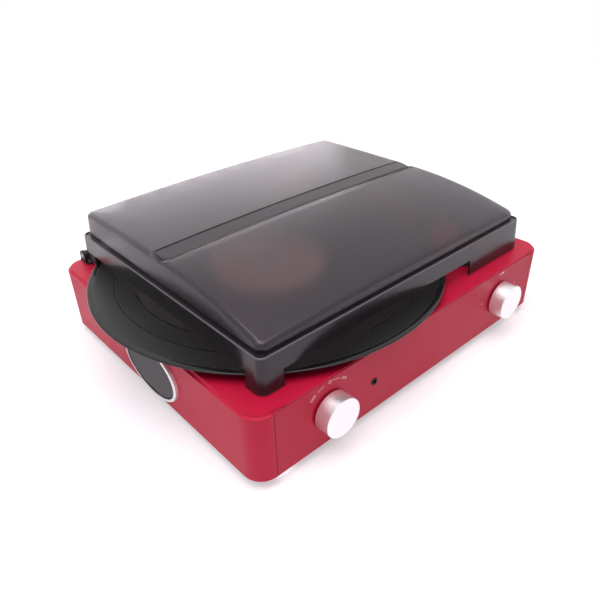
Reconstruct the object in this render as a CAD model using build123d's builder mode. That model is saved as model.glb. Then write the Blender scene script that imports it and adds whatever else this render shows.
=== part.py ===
"""A table-top record player with a smoked lid, in millimetres.

X runs to the right, Y to the back and Z up. The origin is at the centre of the
player's own outline, on the surface that it stands on. Sketches on level() planes
are measured from the centre of the case.
"""
import os
from math import atan, cos, degrees, radians, sin, sqrt

from build123d import *

# Record, which the whole player is laid out round
record_radius = 150.5
record_thick = 1.5
record_edge = 0.7
bead_slope = 1.0
record_y = -1.0
record_lift = 7.5
groove_start = 4.5
groove_sink = 0.15
label_radius = 50.0
label_thick = 0.2
record_hole = 3.63

# Case: wider than the record, and less deep by the overhang at the front and back
case_side = 18.5
record_overhang = 10.0
case_width = 2 * (record_radius + case_side)
case_depth = 2 * (record_radius - record_overhang)
case_height = 57.5
case_corner = 15.5
case_wall = 3.0
deck_thick = 3.0
soft_edge = 2.4
crisp_edge = 0.8
edge_fade = 12.0
foot_height = 9.0

# Front panel, let into the front of the case
panel_side = 16.3
panel_width = case_width - 2 * panel_side
panel_thick = 3.0
panel_lip = 0.9
panel_corner = 0.6
seam = 0.25

# Turntable
spindle_radius = 3.55
spindle_reach = 16.0
mat_thick = 1.5
platter_radius = 97.0
platter_disc = 3.0
belt_ring = 75.0
well_gap = 4.0
well_depth = 10.0
well_floor = 2.5

# Drive
pulley_radius = 5.5
pulley_offset = 84.5
pulley_angle = 60.0
belt_height = 4.0
belt_thick = 0.7
belt_gap = 0.2
motor_radius = 15.0
motor_height = 20.0

# Fits
running_gap = 0.05
seat_gap = 0.1
part_gap = 0.3

# Knobs, on the front panel
knob_side = 48.7
knob_x = panel_width / 2 - knob_side
knob_z = 29.8
knob_radius = 15.5
knob_length = 12.3
knob_gap = 1.5
shaft_radius = 3.0
jack_from_knob = 45.5
jack_x = jack_from_knob - knob_x
jack_z = 27.5
jack_bore = 1.8
jack_depth = 15.0

# Speakers, in the two sides
speaker_y = -11.3
speaker_z = 27.7
bezel_half_length = 37.6
bezel_half_height = 24.7
bezel_width = 2.4
bezel_proud = 3.0
bezel_round = 0.9
grille_sink = 0.4
grille_rim = 1.6
slit_pitch = 2.7
slit_width = 1.3
grille_web = 1.0
driver_radius = 23.0
driver_depth = 18.0
driver_rim = 1.5
surround_width = 5.5
cone_depth = 6.0
cap_radius = 6.5
cap_height = 1.0
basket_depth = 10.0
basket_radius = 13.0
magnet_radius = 15.0

# Lid, which leaves the record's edge out in front, at the left and behind
lid_side_inset = 1.5
lid_front_inset = 26.0
lid_rear_inset = 23.2
lid_width = 2 * (record_radius - lid_side_inset)
lid_front = lid_front_inset - record_radius
lid_rear = record_radius - lid_rear_inset
lid_half = lid_width / 2
lid_wall = 2.0
lid_corner = 5.5
skirt_flare = 2.0
lid_clear = 0.8
flange_height = 28.8
ledge_width = 3.4
dome_front_height = 35.3
dome_mid_height = 45.8
dome_back_height = 50.0
dome_rear_height = 49.2
dome_crown = 3.0
dome_corner = 7.0
dome_draft = 4.5
dome_round = 4.6
dome_root = 1.5
flange_edge = 0.7
groove_lip = 1.5
groove_depth = 0.7
notch_height = 14.2
post_gap = 0.8
skirt_start = 75.0
skirt_end = 95.0
trough_front = -9.5
trough_low = 0.5
trough_back = 11.5
trough_sink = 2.4
scoop_front = -3.5
scoop_back = 12.0
scoop_side = 10.8
scoop_sink = 4.2
scoop_corner = 5.0

# Lid hinges
hinge_y = lid_rear + 3.2
hinge_height = 7.0
hinge_pin = 1.6
arm_thick = 2.7
ear_thick = 2.8
ear_gap = 1.5
arm_face = lid_half - lid_wall
knuckle_out = arm_face + 1.2
bracket_in = arm_face - arm_thick - ear_gap - ear_thick
bracket_out = knuckle_out + ear_gap + ear_thick
bracket_mid = (bracket_in + bracket_out) / 2
bracket_depth = 15.5
bracket_screw_radius = 1.2
bracket_screw_step = 5.2
bracket_screw_y = (hinge_y - bracket_screw_step, hinge_y + bracket_screw_step)
bracket_screw_places = [(side * bracket_mid, y) for side in (-1, 1) for y in bracket_screw_y]

# Tonearm, along the right side of the lid
pivot_x = lid_half - 34.0
pivot_y = lid_rear - 32.8
arm_length = pivot_y - lid_front - 20.6
arm_clear = 7.5
arm_height = 22.0
tube_radius = 3.0
stylus_gap = 0.4
lift_radius = 36.0

# Levels and places that follow from the sizes above
record_x = pivot_x - arm_clear - record_radius
base_z = foot_height
deck_z = base_z + case_height
front_reach = case_depth / 2 + knob_gap + knob_length
back_reach = record_y + record_radius
left_reach = record_radius - record_x
right_reach = case_width / 2 + bezel_proud
case_x = (left_reach - right_reach) / 2
case_y = (front_reach - back_reach) / 2
mat_z = deck_z + record_lift
record_z = mat_z + record_thick
platter_z = mat_z - mat_thick
well_radius = platter_radius + well_gap
floor_z = deck_z - well_depth
lid_middle = (lid_front + lid_rear) / 2
lid_depth = lid_rear - lid_front
flange_z = deck_z + flange_height
# The skirt leans out by the flare from the flange's top down to its lower edge.
skirt_drop = flange_height - lid_clear
skirt_slope = skirt_flare / skirt_drop
skirt_angle = degrees(atan(skirt_slope))
record_flare = skirt_slope * (flange_height - record_lift - record_thick)
# The post's two walls end where they would come within the gap of the record's edge.
post_reach = record_radius + post_gap
post_front_in = lid_front + lid_wall - record_flare
post_side_in = lid_half - lid_wall + record_flare
post_width = lid_half + record_x - sqrt(post_reach**2 - (post_front_in - record_y) ** 2)
post_depth = record_y - lid_front - sqrt(post_reach**2 - (post_side_in + record_x) ** 2)
arm_z = deck_z + arm_height
inner_width = case_width - 2 * case_wall
inner_depth = case_depth - 2 * case_wall - panel_thick
pulley_x = record_x + pulley_offset * cos(radians(pulley_angle))
pulley_y = record_y + pulley_offset * sin(radians(pulley_angle))

os.makedirs("parts", exist_ok=True)


def level(height):
    """A plane that faces up, over the centre of the case."""
    return Plane(origin=(case_x, case_y, height))


def front_plane(setback=0.0):
    """A plane that faces forward, with its origin at the foot of the case front."""
    return Plane(
        origin=(case_x, case_y - case_depth / 2 + setback, base_z),
        x_dir=(1, 0, 0),
        z_dir=(0, -1, 0),
    )


def back_plane(setback=0.0):
    """A plane that faces back, with its origin at the foot of the case back."""
    return Plane(
        origin=(case_x, case_y + case_depth / 2 - setback, base_z),
        x_dir=(-1, 0, 0),
        z_dir=(0, 1, 0),
    )


def side_plane(side, reach):
    """A plane that faces out of one side (-1 left, 1 right) at the speaker's centre."""
    return Plane(
        origin=(case_x + side * reach, case_y + speaker_y, base_z + speaker_z),
        x_dir=(0, side, 0),
        z_dir=(side, 0, 0),
    )


def section(x):
    """A plane across X, with local x to the back and local y up from the deck."""
    return Plane(origin=(case_x + x, case_y, deck_z), x_dir=(0, 1, 0), z_dir=(1, 0, 0))


def turned(x, y, height):
    """An upright plane to draw half a turned profile on, round a vertical axis."""
    return Plane(origin=(case_x + x, case_y + y, height), x_dir=(1, 0, 0), z_dir=(0, -1, 0))


def upright(x, y):
    """The vertical axis that a turned profile goes round."""
    return Axis((case_x + x, case_y + y, 0), (0, 0, 1))


def save(piece, name):
    """Label one piece and write it as its own STEP file."""
    piece.part.label = name
    export_step(piece.part, f"parts/{name}.step")


# Edge cutter: takes a soft round off the top of the case, fading to a crisp front edge
flat_half = case_width / 2 - case_corner


def round_profile(x, radius):
    """What lies outside a round of this radius, across the front top edge at x."""
    spare = 1.0
    plane = Plane(
        origin=(case_x + x, case_y - case_depth / 2, deck_z), x_dir=(0, -1, 0), z_dir=(-1, 0, 0)
    )
    with BuildSketch(plane) as profile:
        with BuildLine():
            Polyline(
                (-radius, 0), (-radius, spare), (spare, spare), (spare, -radius), (0, -radius)
            )
            RadiusArc((0, -radius), (-radius, 0), radius)
        make_face()
    return profile.sketch


with BuildPart() as edge_cutter:
    with BuildLine(level(deck_z)) as edge_path:
        FilletPolyline(
            (-flat_half, -case_depth / 2),
            (-case_width / 2, -case_depth / 2),
            (-case_width / 2, case_depth / 2),
            (case_width / 2, case_depth / 2),
            (case_width / 2, -case_depth / 2),
            (flat_half, -case_depth / 2),
            radius=case_corner - 0.01,
        )
    sweep(round_profile(-flat_half, soft_edge), path=edge_path.wires()[0])
    for end in (-1, 1):
        loft(
            [
                round_profile(end * flat_half, soft_edge),
                round_profile(end * (flat_half - edge_fade), crisp_edge),
            ]
        )
    extrude(round_profile(flat_half - edge_fade, crisp_edge), amount=2 * (flat_half - edge_fade))

# Case shell
boss_side_inset = 17.0
boss_end_inset = 42.5
boss_front_inset = 16.5
boss_back_inset = 14.5
boss_radius = 4.0
boss_x = case_width / 2 - boss_side_inset
boss_y = case_depth / 2 - boss_end_inset
boss_places = [(x, y) for x in (-boss_x, boss_x) for y in (-boss_y, boss_y)]
boss_places += [(0, boss_front_inset - case_depth / 2), (0, case_depth / 2 - boss_back_inset)]
screw_radius = 1.4
screw_bite = 10.0
screw_hole_depth = 12.0
cover_thick = 2.5
bush_radius = 6.0
motor_neck = 5.0
bushing_radius = 4.5
jack_radius = 3.0
plate_width = 96.0
plate_height = 30.0
plate_thick = 1.6
plate_corner = 3.0
plate_rim = 5.0
plate_x = 60.0
plate_z = 28.0
window_half_length = 31.0
window_half_height = 19.5
adapter_radius = 19.0
adapter_x = lid_half - 52.0
adapter_y = lid_front + 25.6
adapter_sink = 2.0
adapter_gap = 0.4
switch_x = lid_half - 15.0
speed_y = 5.0
speed_travel = 14.0
autostop_y = -35.0
autostop_travel = 5.0
button_length = 9.0
stem_width = 3.0
stem_length = 6.0
stem_gap = 0.5

with BuildPart() as case_shell:
    with BuildSketch(level(base_z)):
        RectangleRounded(case_width, case_depth, case_corner)
    extrude(amount=case_height)
    add(edge_cutter.part, mode=Mode.SUBTRACT)
    with BuildSketch(level(base_z)):
        with Locations((0, panel_thick / 2)):
            RectangleRounded(inner_width, inner_depth, case_corner - case_wall)
    extrude(amount=case_height - deck_thick, mode=Mode.SUBTRACT)
    # The well's cup hangs under the deck, and long bosses carry the bottom cover.
    with BuildSketch(level(floor_z - well_floor)):
        with Locations((record_x, record_y)):
            Circle(well_radius + case_wall)
    extrude(amount=well_depth + well_floor - deck_thick / 2)
    with BuildSketch(level(base_z + cover_thick)):
        with Locations(*boss_places):
            Circle(boss_radius)
    extrude(amount=case_height - cover_thick - deck_thick / 2)
    with BuildSketch(level(base_z + cover_thick)):
        with Locations(*boss_places):
            Circle(screw_radius + running_gap)
    extrude(amount=screw_hole_depth, mode=Mode.SUBTRACT)
    with BuildSketch(level(deck_z)):
        with Locations((record_x, record_y)):
            Circle(well_radius)
    extrude(amount=-well_depth, mode=Mode.SUBTRACT)
    with BuildSketch(level(floor_z)):
        with Locations((record_x, record_y)):
            Circle(bush_radius + seat_gap)
        with Locations((pulley_x, pulley_y)):
            Circle(motor_neck + seat_gap)
    extrude(amount=-well_floor, mode=Mode.SUBTRACT)
    # Rebate and holes in the front
    with BuildSketch(front_plane()):
        with Locations((0, (case_height - panel_lip) / 2)):
            Rectangle(panel_width, case_height - panel_lip)
    extrude(amount=-panel_thick, mode=Mode.SUBTRACT)
    with BuildSketch(front_plane()):
        with Locations((-knob_x, knob_z), (knob_x, knob_z)):
            Circle(bushing_radius + seat_gap)
        with Locations((jack_x, jack_z)):
            Circle(jack_radius + seat_gap)
    extrude(amount=-panel_thick - case_wall, mode=Mode.SUBTRACT)
    # Speaker windows
    for side in (-1, 1):
        with BuildSketch(side_plane(side, case_width / 2)):
            Ellipse(window_half_length, window_half_height)
        extrude(amount=-case_wall, mode=Mode.SUBTRACT)
    # Socket window in the back
    with BuildSketch(back_plane()):
        with Locations((-plate_x, plate_z)):
            RectangleRounded(plate_width + 2 * seam, plate_height + 2 * seam, plate_corner)
    extrude(amount=-plate_thick, mode=Mode.SUBTRACT)
    with BuildSketch(back_plane()):
        with Locations((-plate_x, plate_z)):
            RectangleRounded(
                plate_width - 2 * plate_rim, plate_height - 2 * plate_rim, plate_corner
            )
    extrude(amount=-case_wall, mode=Mode.SUBTRACT)
    # Seat for the adapter, and slots for the two sliding switches
    with BuildSketch(level(deck_z)):
        with Locations((adapter_x, adapter_y)):
            Circle(adapter_radius + adapter_gap)
    extrude(amount=-adapter_sink, mode=Mode.SUBTRACT)
    with BuildSketch(level(deck_z)):
        with Locations((switch_x, speed_y)):
            Rectangle(stem_width + 2 * stem_gap, speed_travel + stem_length + 2 * stem_gap)
        with Locations((switch_x, autostop_y)):
            Rectangle(stem_width + 2 * stem_gap, autostop_travel + stem_length + 2 * stem_gap)
    extrude(amount=-deck_thick, mode=Mode.SUBTRACT)
    with BuildSketch(level(deck_z)):
        with Locations(*bracket_screw_places):
            Circle(bracket_screw_radius + running_gap)
    extrude(amount=-deck_thick, mode=Mode.SUBTRACT)
save(case_shell, "case_shell")

# Front panel
with BuildPart() as front_panel:
    with BuildSketch(front_plane(panel_thick)):
        with Locations((0, (case_height - panel_lip - seam) / 2)):
            RectangleRounded(
                panel_width - 2 * seam, case_height - panel_lip - seam, panel_corner
            )
        with Locations((-knob_x, knob_z), (knob_x, knob_z)):
            Circle(bushing_radius + seat_gap, mode=Mode.SUBTRACT)
        with Locations((jack_x, jack_z)):
            Circle(jack_radius + seat_gap, mode=Mode.SUBTRACT)
    extrude(amount=panel_thick)
    add(edge_cutter.part, mode=Mode.SUBTRACT)
save(front_panel, "front_panel")

# Bottom cover, with vents and with posts for the circuit board
foot_side_inset = 28.0
foot_end_inset = 16.0
foot_x = case_width / 2 - foot_side_inset
foot_y = case_depth / 2 - foot_end_inset
foot_places = [(x, y) for x in (-foot_x, foot_x) for y in (-foot_y, foot_y)]
foot_spigot = 3.0
board_x = 102.0
board_y = -8.0
board_width = 60.0
board_depth = 72.0
board_lift = 6.0
board_post_inset = 4.0
board_post_radius = 3.0
vent_count = 6
vent_pitch = 8.0
vent_length = 34.0
vent_width = 3.0
head_radius = 3.0
head_depth = 1.6
cross_length = 3.4
cross_width = 0.7
cross_depth = 0.9

with BuildPart() as bottom_cover:
    with BuildSketch(level(base_z)):
        with Locations((0, panel_thick / 2)):
            RectangleRounded(
                inner_width - 2 * seam, inner_depth - 2 * seam, case_corner - case_wall - seam
            )
        with Locations(*boss_places):
            Circle(screw_radius + running_gap, mode=Mode.SUBTRACT)
        with Locations(*foot_places):
            Circle(foot_spigot + seat_gap, mode=Mode.SUBTRACT)
        with Locations((board_x, board_y)):
            with GridLocations(vent_pitch, 0, vent_count, 1):
                SlotOverall(vent_length, vent_width, rotation=90, mode=Mode.SUBTRACT)
    extrude(amount=cover_thick)
    with BuildSketch(level(base_z)):
        with Locations(*boss_places):
            Circle(head_radius + seat_gap)
    extrude(amount=head_depth, taper=45, mode=Mode.SUBTRACT)
    with BuildSketch(level(base_z + cover_thick)):
        with Locations((board_x, board_y)):
            with GridLocations(
                board_width - 2 * board_post_inset, board_depth - 2 * board_post_inset, 2, 2
            ):
                Circle(board_post_radius)
    extrude(amount=board_lift)
save(bottom_cover, "bottom_cover")

# Cover screws, countersunk
with BuildPart() as cover_screws:
    with BuildSketch(level(base_z)):
        with Locations(*boss_places):
            Circle(head_radius)
    extrude(amount=head_depth, taper=45)
    with BuildSketch(level(base_z)):
        with Locations(*boss_places):
            Circle(screw_radius)
    extrude(amount=cover_thick + screw_bite)
    with BuildSketch(level(base_z)):
        with Locations(*boss_places):
            Rectangle(cross_length, cross_width)
            Rectangle(cross_width, cross_length)
    extrude(amount=cross_depth, mode=Mode.SUBTRACT)
save(cover_screws, "cover_screws")

# Feet: bright cups on rubber pads
foot_radius = 11.3
pad_radius = 9.0
pad_height = 2.2
cup_z = 1.5
cup_edge = 0.8
with BuildPart() as foot_cups:
    for x, y in foot_places:
        with BuildSketch(turned(x, y, 0)):
            with BuildLine():
                Polyline(
                    (0, pad_height),
                    (pad_radius + seat_gap, pad_height),
                    (pad_radius + seat_gap, cup_z),
                    (foot_radius - cup_edge, cup_z),
                    (foot_radius, cup_z + cup_edge),
                    (foot_radius, base_z),
                    (foot_spigot, base_z),
                    (foot_spigot, base_z + cover_thick),
                    (0, base_z + cover_thick),
                    close=True,
                )
            make_face()
        revolve(axis=upright(x, y))
save(foot_cups, "foot_cups")

with BuildPart() as foot_pads:
    with BuildSketch(level(0)):
        with Locations(*foot_places):
            Circle(pad_radius)
    extrude(amount=pad_height)
save(foot_pads, "foot_pads")

# Speakers: bezel, slitted grille and driver, left and right
wall_out = case_width / 2
wall_in = wall_out - case_wall


def speaker_bezel(side):
    """The raised oval ring round one grille."""
    with BuildPart() as bezel:
        with BuildSketch(side_plane(side, wall_out)):
            Ellipse(bezel_half_length, bezel_half_height)
            Ellipse(
                bezel_half_length - bezel_width,
                bezel_half_height - bezel_width,
                mode=Mode.SUBTRACT,
            )
        extrude(amount=bezel_proud)
        outer = bezel.faces().sort_by(Axis.X)[0 if side < 0 else -1]
        fillet(outer.outer_wire().edges(), radius=bezel_round)
    return bezel


def speaker_grille(side):
    """The oval grille, with level slits on both sides of a middle web."""
    half_length = bezel_half_length - bezel_width - seat_gap
    half_height = bezel_half_height - bezel_width - seat_gap
    rows = int(2 * (half_height - grille_rim) / slit_pitch)
    with BuildPart() as grille:
        with BuildSketch(side_plane(side, wall_out)):
            Ellipse(half_length, half_height)
        extrude(amount=bezel_proud - grille_sink)
        with BuildSketch(side_plane(side, wall_out)):
            Ellipse(half_length - grille_rim, half_height - grille_rim)
            with GridLocations(half_length + grille_web, slit_pitch, 2, rows):
                Rectangle(half_length, slit_width, mode=Mode.INTERSECT)
        extrude(amount=bezel_proud, mode=Mode.SUBTRACT)
    return grille


def speaker_driver(side):
    """A round driver on the inner wall: rim, cone, dust cap, basket and magnet."""
    plane = Plane(
        origin=(case_x + side * wall_in, case_y + speaker_y, base_z + speaker_z),
        x_dir=(-side, 0, 0),
        z_dir=(0, -side, 0),
    )
    with BuildPart() as driver:
        with BuildSketch(plane):
            with BuildLine():
                Polyline(
                    (cone_depth, cap_radius),
                    (0, driver_radius - surround_width),
                    (0, driver_radius),
                    (driver_rim, driver_radius),
                    (basket_depth, basket_radius),
                    (basket_depth, magnet_radius),
                    (driver_depth, magnet_radius),
                    (driver_depth, 0),
                    (cone_depth - cap_height, 0),
                )
                ThreePointArc(
                    (cone_depth - cap_height, 0),
                    (cone_depth - cap_height * 3 / 4, cap_radius / 2),
                    (cone_depth, cap_radius),
                )
            make_face()
        revolve(axis=Axis(plane.origin, plane.x_dir))
    return driver


for side, word in ((-1, "left"), (1, "right")):
    save(speaker_bezel(side), f"{word}_speaker_bezel")
    save(speaker_grille(side), f"{word}_speaker_grille")
    save(speaker_driver(side), f"{word}_speaker_driver")

# Controls behind the front wall: a block, a bushing through the panel, a turning shaft
block_width = 22.0
block_height = 20.0
block_depth = 12.0
block_corner = 1.5
knob_wall = 3.0
knob_skin = 2.5
knob_edge = 0.5
hub_wall = 3.0
shaft_in = 8.0
shaft_play = 0.5


def control_block(x):
    """The body of one rotary control, with the bushing that its shaft turns in."""
    with BuildPart() as block:
        with BuildSketch(front_plane(panel_thick + case_wall)):
            with Locations((x, knob_z)):
                RectangleRounded(block_width, block_height, block_corner)
        extrude(amount=-block_depth)
        with BuildSketch(front_plane(panel_thick + case_wall)):
            with Locations((x, knob_z)):
                Circle(bushing_radius)
        extrude(amount=panel_thick + case_wall)
        with BuildSketch(front_plane()):
            with Locations((x, knob_z)):
                Circle(shaft_radius + running_gap)
        extrude(amount=-panel_thick - case_wall - shaft_in - shaft_play, mode=Mode.SUBTRACT)
    return block


def control_shaft(x):
    """The round shaft from inside the control to the knob."""
    with BuildPart() as shaft:
        with BuildSketch(front_plane(panel_thick + case_wall + shaft_in)):
            with Locations((x, knob_z)):
                Circle(shaft_radius)
        extrude(
            amount=panel_thick + case_wall + shaft_in + knob_gap + knob_length - knob_wall
        )
    return shaft


def control_knob(x):
    """A plain turned cylinder with a crisp front edge, hollow behind round a hub."""
    with BuildPart() as knob:
        with BuildSketch(front_plane(-knob_gap)):
            with Locations((x, knob_z)):
                Circle(knob_radius)
        extrude(amount=knob_length)
        chamfer(knob.faces().sort_by(Axis.Y)[0].edges(), length=knob_edge)
        with BuildSketch(front_plane(-knob_gap)):
            with Locations((x, knob_z)):
                Circle(knob_radius - knob_skin)
                Circle(shaft_radius + hub_wall, mode=Mode.SUBTRACT)
        extrude(amount=knob_length - knob_wall, mode=Mode.SUBTRACT)
        with BuildSketch(front_plane(-knob_gap)):
            with Locations((x, knob_z)):
                Circle(shaft_radius + running_gap)
        extrude(amount=knob_length - knob_wall, mode=Mode.SUBTRACT)
    return knob


for x, block_name, word in (
    (-knob_x, "power_switch", "power"),
    (knob_x, "volume_control", "volume"),
):
    save(control_block(x), block_name)
    save(control_shaft(x), f"{word}_shaft")
    save(control_knob(x), f"{word}_knob")

# Stereo jack
jack_block = 12.0
jack_block_depth = 14.0
jack_nose = 0.5
with BuildPart() as aux_jack:
    with BuildSketch(front_plane(panel_thick + case_wall)):
        with Locations((jack_x, jack_z)):
            RectangleRounded(jack_block, jack_block, block_corner)
    extrude(amount=-jack_block_depth)
    with BuildSketch(front_plane(panel_thick + case_wall)):
        with Locations((jack_x, jack_z)):
            Circle(jack_radius)
    extrude(amount=panel_thick + case_wall + jack_nose)
    with BuildSketch(front_plane(-jack_nose)):
        with Locations((jack_x, jack_z)):
            Circle(jack_bore)
    extrude(amount=-jack_depth, mode=Mode.SUBTRACT)
save(aux_jack, "aux_jack")

# Socket plate at the back, with its phono and inlet sockets
phono_centre = 17.0
phono_pitch = 18.0
phono_radius = 4.0
phono_flange = 5.6
phono_flange_thick = 1.2
phono_reach = 7.5
phono_bore = 1.6
phono_bore_depth = 7.0
phono_root = 4.0
inlet_offset = 24.0
inlet_radius = 5.0
inlet_flange = 6.2
inlet_flange_thick = 1.0
inlet_bore = 2.8
inlet_pin = 0.9
inlet_bore_depth = 9.0
inlet_root = 8.0
phono_places = [
    (phono_centre - plate_x + step * phono_pitch / 2, plate_z) for step in (1, -1)
]
inlet_place = (-plate_x - inlet_offset, plate_z)
with BuildPart() as socket_plate:
    with BuildSketch(back_plane(plate_thick)):
        with Locations((-plate_x, plate_z)):
            RectangleRounded(plate_width, plate_height, plate_corner)
        with Locations(*phono_places):
            Circle(phono_radius + seat_gap, mode=Mode.SUBTRACT)
        with Locations(inlet_place):
            Circle(inlet_radius + seat_gap, mode=Mode.SUBTRACT)
    extrude(amount=plate_thick)
save(socket_plate, "socket_plate")

with BuildPart() as phono_sockets:
    with BuildSketch(back_plane(plate_thick + phono_root)):
        with Locations(*phono_places):
            Circle(phono_radius)
    extrude(amount=plate_thick + phono_root + phono_reach)
    with BuildSketch(back_plane()):
        with Locations(*phono_places):
            Circle(phono_flange)
    extrude(amount=phono_flange_thick)
    with BuildSketch(back_plane(-phono_reach)):
        with Locations(*phono_places):
            Circle(phono_bore)
    extrude(amount=-phono_bore_depth, mode=Mode.SUBTRACT)
save(phono_sockets, "phono_sockets")

with BuildPart() as inlet_socket:
    with BuildSketch(back_plane(plate_thick + inlet_root)):
        with Locations(inlet_place):
            Circle(inlet_radius)
    extrude(amount=plate_thick + inlet_root)
    with BuildSketch(back_plane()):
        with Locations(inlet_place):
            Circle(inlet_flange)
    extrude(amount=inlet_flange_thick)
    with BuildSketch(back_plane(-inlet_flange_thick)):
        with Locations(inlet_place):
            Circle(inlet_bore)
            Circle(inlet_pin, mode=Mode.SUBTRACT)
    extrude(amount=-inlet_bore_depth, mode=Mode.SUBTRACT)
save(inlet_socket, "inlet_socket")

# Circuit board, on the cover's posts
board_z = base_z + cover_thick + board_lift
board_thick = 1.6
capacitor_radius = 5.0
capacitor_height = 14.0
capacitor_x = (board_x - 14.0, board_x + 2.0)
capacitor_y = board_y + 20.0
sink_x = board_x + 6.0
sink_y = board_y - 18.0
sink_width = 26.0
sink_height = 14.0
sink_base = 2.0
fin_count = 5
fin_pitch = 4.0
fin_thick = 1.5
plug_x = board_x - 20.0
plug_y = board_y - 10.0
plug_width = 8.0
plug_length = 24.0
plug_height = 7.0
with BuildPart() as circuit_board:
    with BuildSketch(level(board_z)):
        with Locations((board_x, board_y)):
            Rectangle(board_width, board_depth)
    extrude(amount=board_thick)
    with BuildSketch(level(board_z + board_thick)):
        with Locations(*[(x, capacitor_y) for x in capacitor_x]):
            Circle(capacitor_radius)
    extrude(amount=capacitor_height)
    with BuildSketch(level(board_z + board_thick)):
        with Locations((sink_x, sink_y)):
            with GridLocations(0, fin_pitch, 1, fin_count):
                Rectangle(sink_width, fin_thick)
    extrude(amount=sink_height)
    with BuildSketch(level(board_z + board_thick)):
        with Locations((sink_x, sink_y)):
            Rectangle(sink_width, (fin_count - 1) * fin_pitch + fin_thick)
    extrude(amount=sink_base)
    with BuildSketch(level(board_z + board_thick)):
        with Locations((plug_x, plug_y)):
            Rectangle(plug_width, plug_length)
    extrude(amount=plug_height)
save(circuit_board, "circuit_board")

# Turntable: bush, spindle, platter, mat, record and label
journal_radius = 3.0
journal_length = 13.0
bush_flange = 9.0
bush_flange_thick = 1.5
bush_end = 2.0
collar_radius = 8.0
collar_thick = 2.0
collar_gap = 1.5
tip_taper = 3.0
tip_narrow = 1.2
tip_flat = 0.8
bush_z = floor_z + bush_flange_thick
spindle_foot = floor_z - journal_length
collar_z = bush_z + collar_gap
hub_z = collar_z + collar_thick
with BuildPart() as spindle_bush:
    with BuildSketch(turned(record_x, record_y, 0)):
        bore = journal_radius + running_gap
        with BuildLine():
            Polyline(
                (bore, bush_z),
                (bush_flange, bush_z),
                (bush_flange, floor_z),
                (bush_radius, floor_z),
                (bush_radius, spindle_foot - bush_end),
                (0, spindle_foot - bush_end),
                (0, spindle_foot - seat_gap),
                (bore, spindle_foot - seat_gap),
                close=True,
            )
        make_face()
    revolve(axis=upright(record_x, record_y))
save(spindle_bush, "spindle_bush")

with BuildPart() as spindle:
    tip_z = deck_z + spindle_reach
    with BuildSketch(turned(record_x, record_y, 0)):
        with BuildLine():
            Polyline(
                (0, tip_z),
                (0, spindle_foot),
                (journal_radius, spindle_foot),
                (journal_radius, collar_z),
                (collar_radius, collar_z),
                (collar_radius, hub_z),
                (spindle_radius, hub_z),
                (spindle_radius, tip_z - tip_taper),
                (spindle_radius - tip_narrow, tip_z - tip_flat),
                (spindle_radius - 2 * tip_narrow, tip_z),
                close=True,
            )
        make_face()
    revolve(axis=upright(record_x, record_y))
save(spindle, "spindle")

rim_wall = 3.5
rim_drop = 3.0
rim_edge = 1.0
ring_wall = 3.0
ring_lift = 1.5
hub_radius = 11.0
with BuildPart() as platter:
    disc_z = platter_z - platter_disc
    with BuildSketch(turned(record_x, record_y, 0)):
        with BuildLine():
            Polyline(
                (spindle_radius + seat_gap / 2, platter_z),
                (spindle_radius + seat_gap / 2, hub_z),
                (hub_radius, hub_z),
                (hub_radius, disc_z),
                (belt_ring - ring_wall, disc_z),
                (belt_ring - ring_wall, floor_z + ring_lift),
                (belt_ring, floor_z + ring_lift),
                (belt_ring, disc_z),
                (platter_radius - rim_wall, disc_z),
                (platter_radius - rim_wall, deck_z - rim_drop),
                (platter_radius, deck_z - rim_drop),
                (platter_radius, platter_z - rim_edge),
                (platter_radius - rim_edge, platter_z),
                close=True,
            )
        make_face()
    revolve(axis=upright(record_x, record_y))
save(platter, "platter")

with BuildPart() as slip_mat:
    with BuildSketch(level(platter_z)):
        with Locations((record_x, record_y)):
            Circle(platter_radius - 2 * rim_edge)
            Circle(spindle_radius + seat_gap, mode=Mode.SUBTRACT)
    extrude(amount=mat_thick)
save(slip_mat, "slip_mat")

with BuildPart() as vinyl_record:
    with BuildSketch(turned(record_x, record_y, 0)):
        sunk = record_z - groove_sink
        groove_outer = record_radius - groove_start
        with BuildLine():
            Polyline(
                (record_hole, mat_z),
                (record_radius - record_edge, mat_z),
            )
            ThreePointArc(
                (record_radius - record_edge, mat_z),
                (record_radius, mat_z + record_thick / 2),
                (record_radius - record_edge, record_z),
            )
            Polyline(
                (record_radius - record_edge, record_z),
                (groove_outer + bead_slope, record_z),
                (groove_outer, sunk),
                (record_hole, sunk),
                (record_hole, mat_z),
            )
        make_face()
    revolve(axis=upright(record_x, record_y))
save(vinyl_record, "vinyl_record")

with BuildPart() as record_label:
    with BuildSketch(level(record_z - groove_sink)):
        with Locations((record_x, record_y)):
            Circle(label_radius)
            Circle(record_hole, mode=Mode.SUBTRACT)
    extrude(amount=label_thick)
save(record_label, "record_label")

# Drive: motor under the well, its pulley, and the belt round the platter's ring
motor_shaft = 1.5
motor_shaft_length = 14.0
motor_bore_depth = 16.0
motor_edge = 1.0
motor_neck_proud = 0.4
pulley_rim = 0.8
pulley_rim_thick = 1.0
pulley_run = 5.4
pulley_gap = 0.4
belt_lift = 0.7
pulley_z = floor_z + motor_neck_proud + pulley_gap
belt_z = pulley_z + pulley_rim_thick + belt_lift
motor_z = floor_z - well_floor
with BuildPart() as motor:
    with BuildSketch(level(motor_z)):
        with Locations((pulley_x, pulley_y)):
            Circle(motor_radius)
    extrude(amount=-motor_height)
    chamfer(motor.faces().sort_by(Axis.Z)[0].edges(), length=motor_edge)
    with BuildSketch(level(motor_z)):
        with Locations((pulley_x, pulley_y)):
            Circle(motor_neck)
    extrude(amount=well_floor + motor_neck_proud)
    with BuildSketch(level(floor_z + 1)):
        with Locations((pulley_x, pulley_y)):
            Circle(motor_shaft + running_gap)
    extrude(amount=-motor_bore_depth, mode=Mode.SUBTRACT)
save(motor, "motor")

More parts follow.
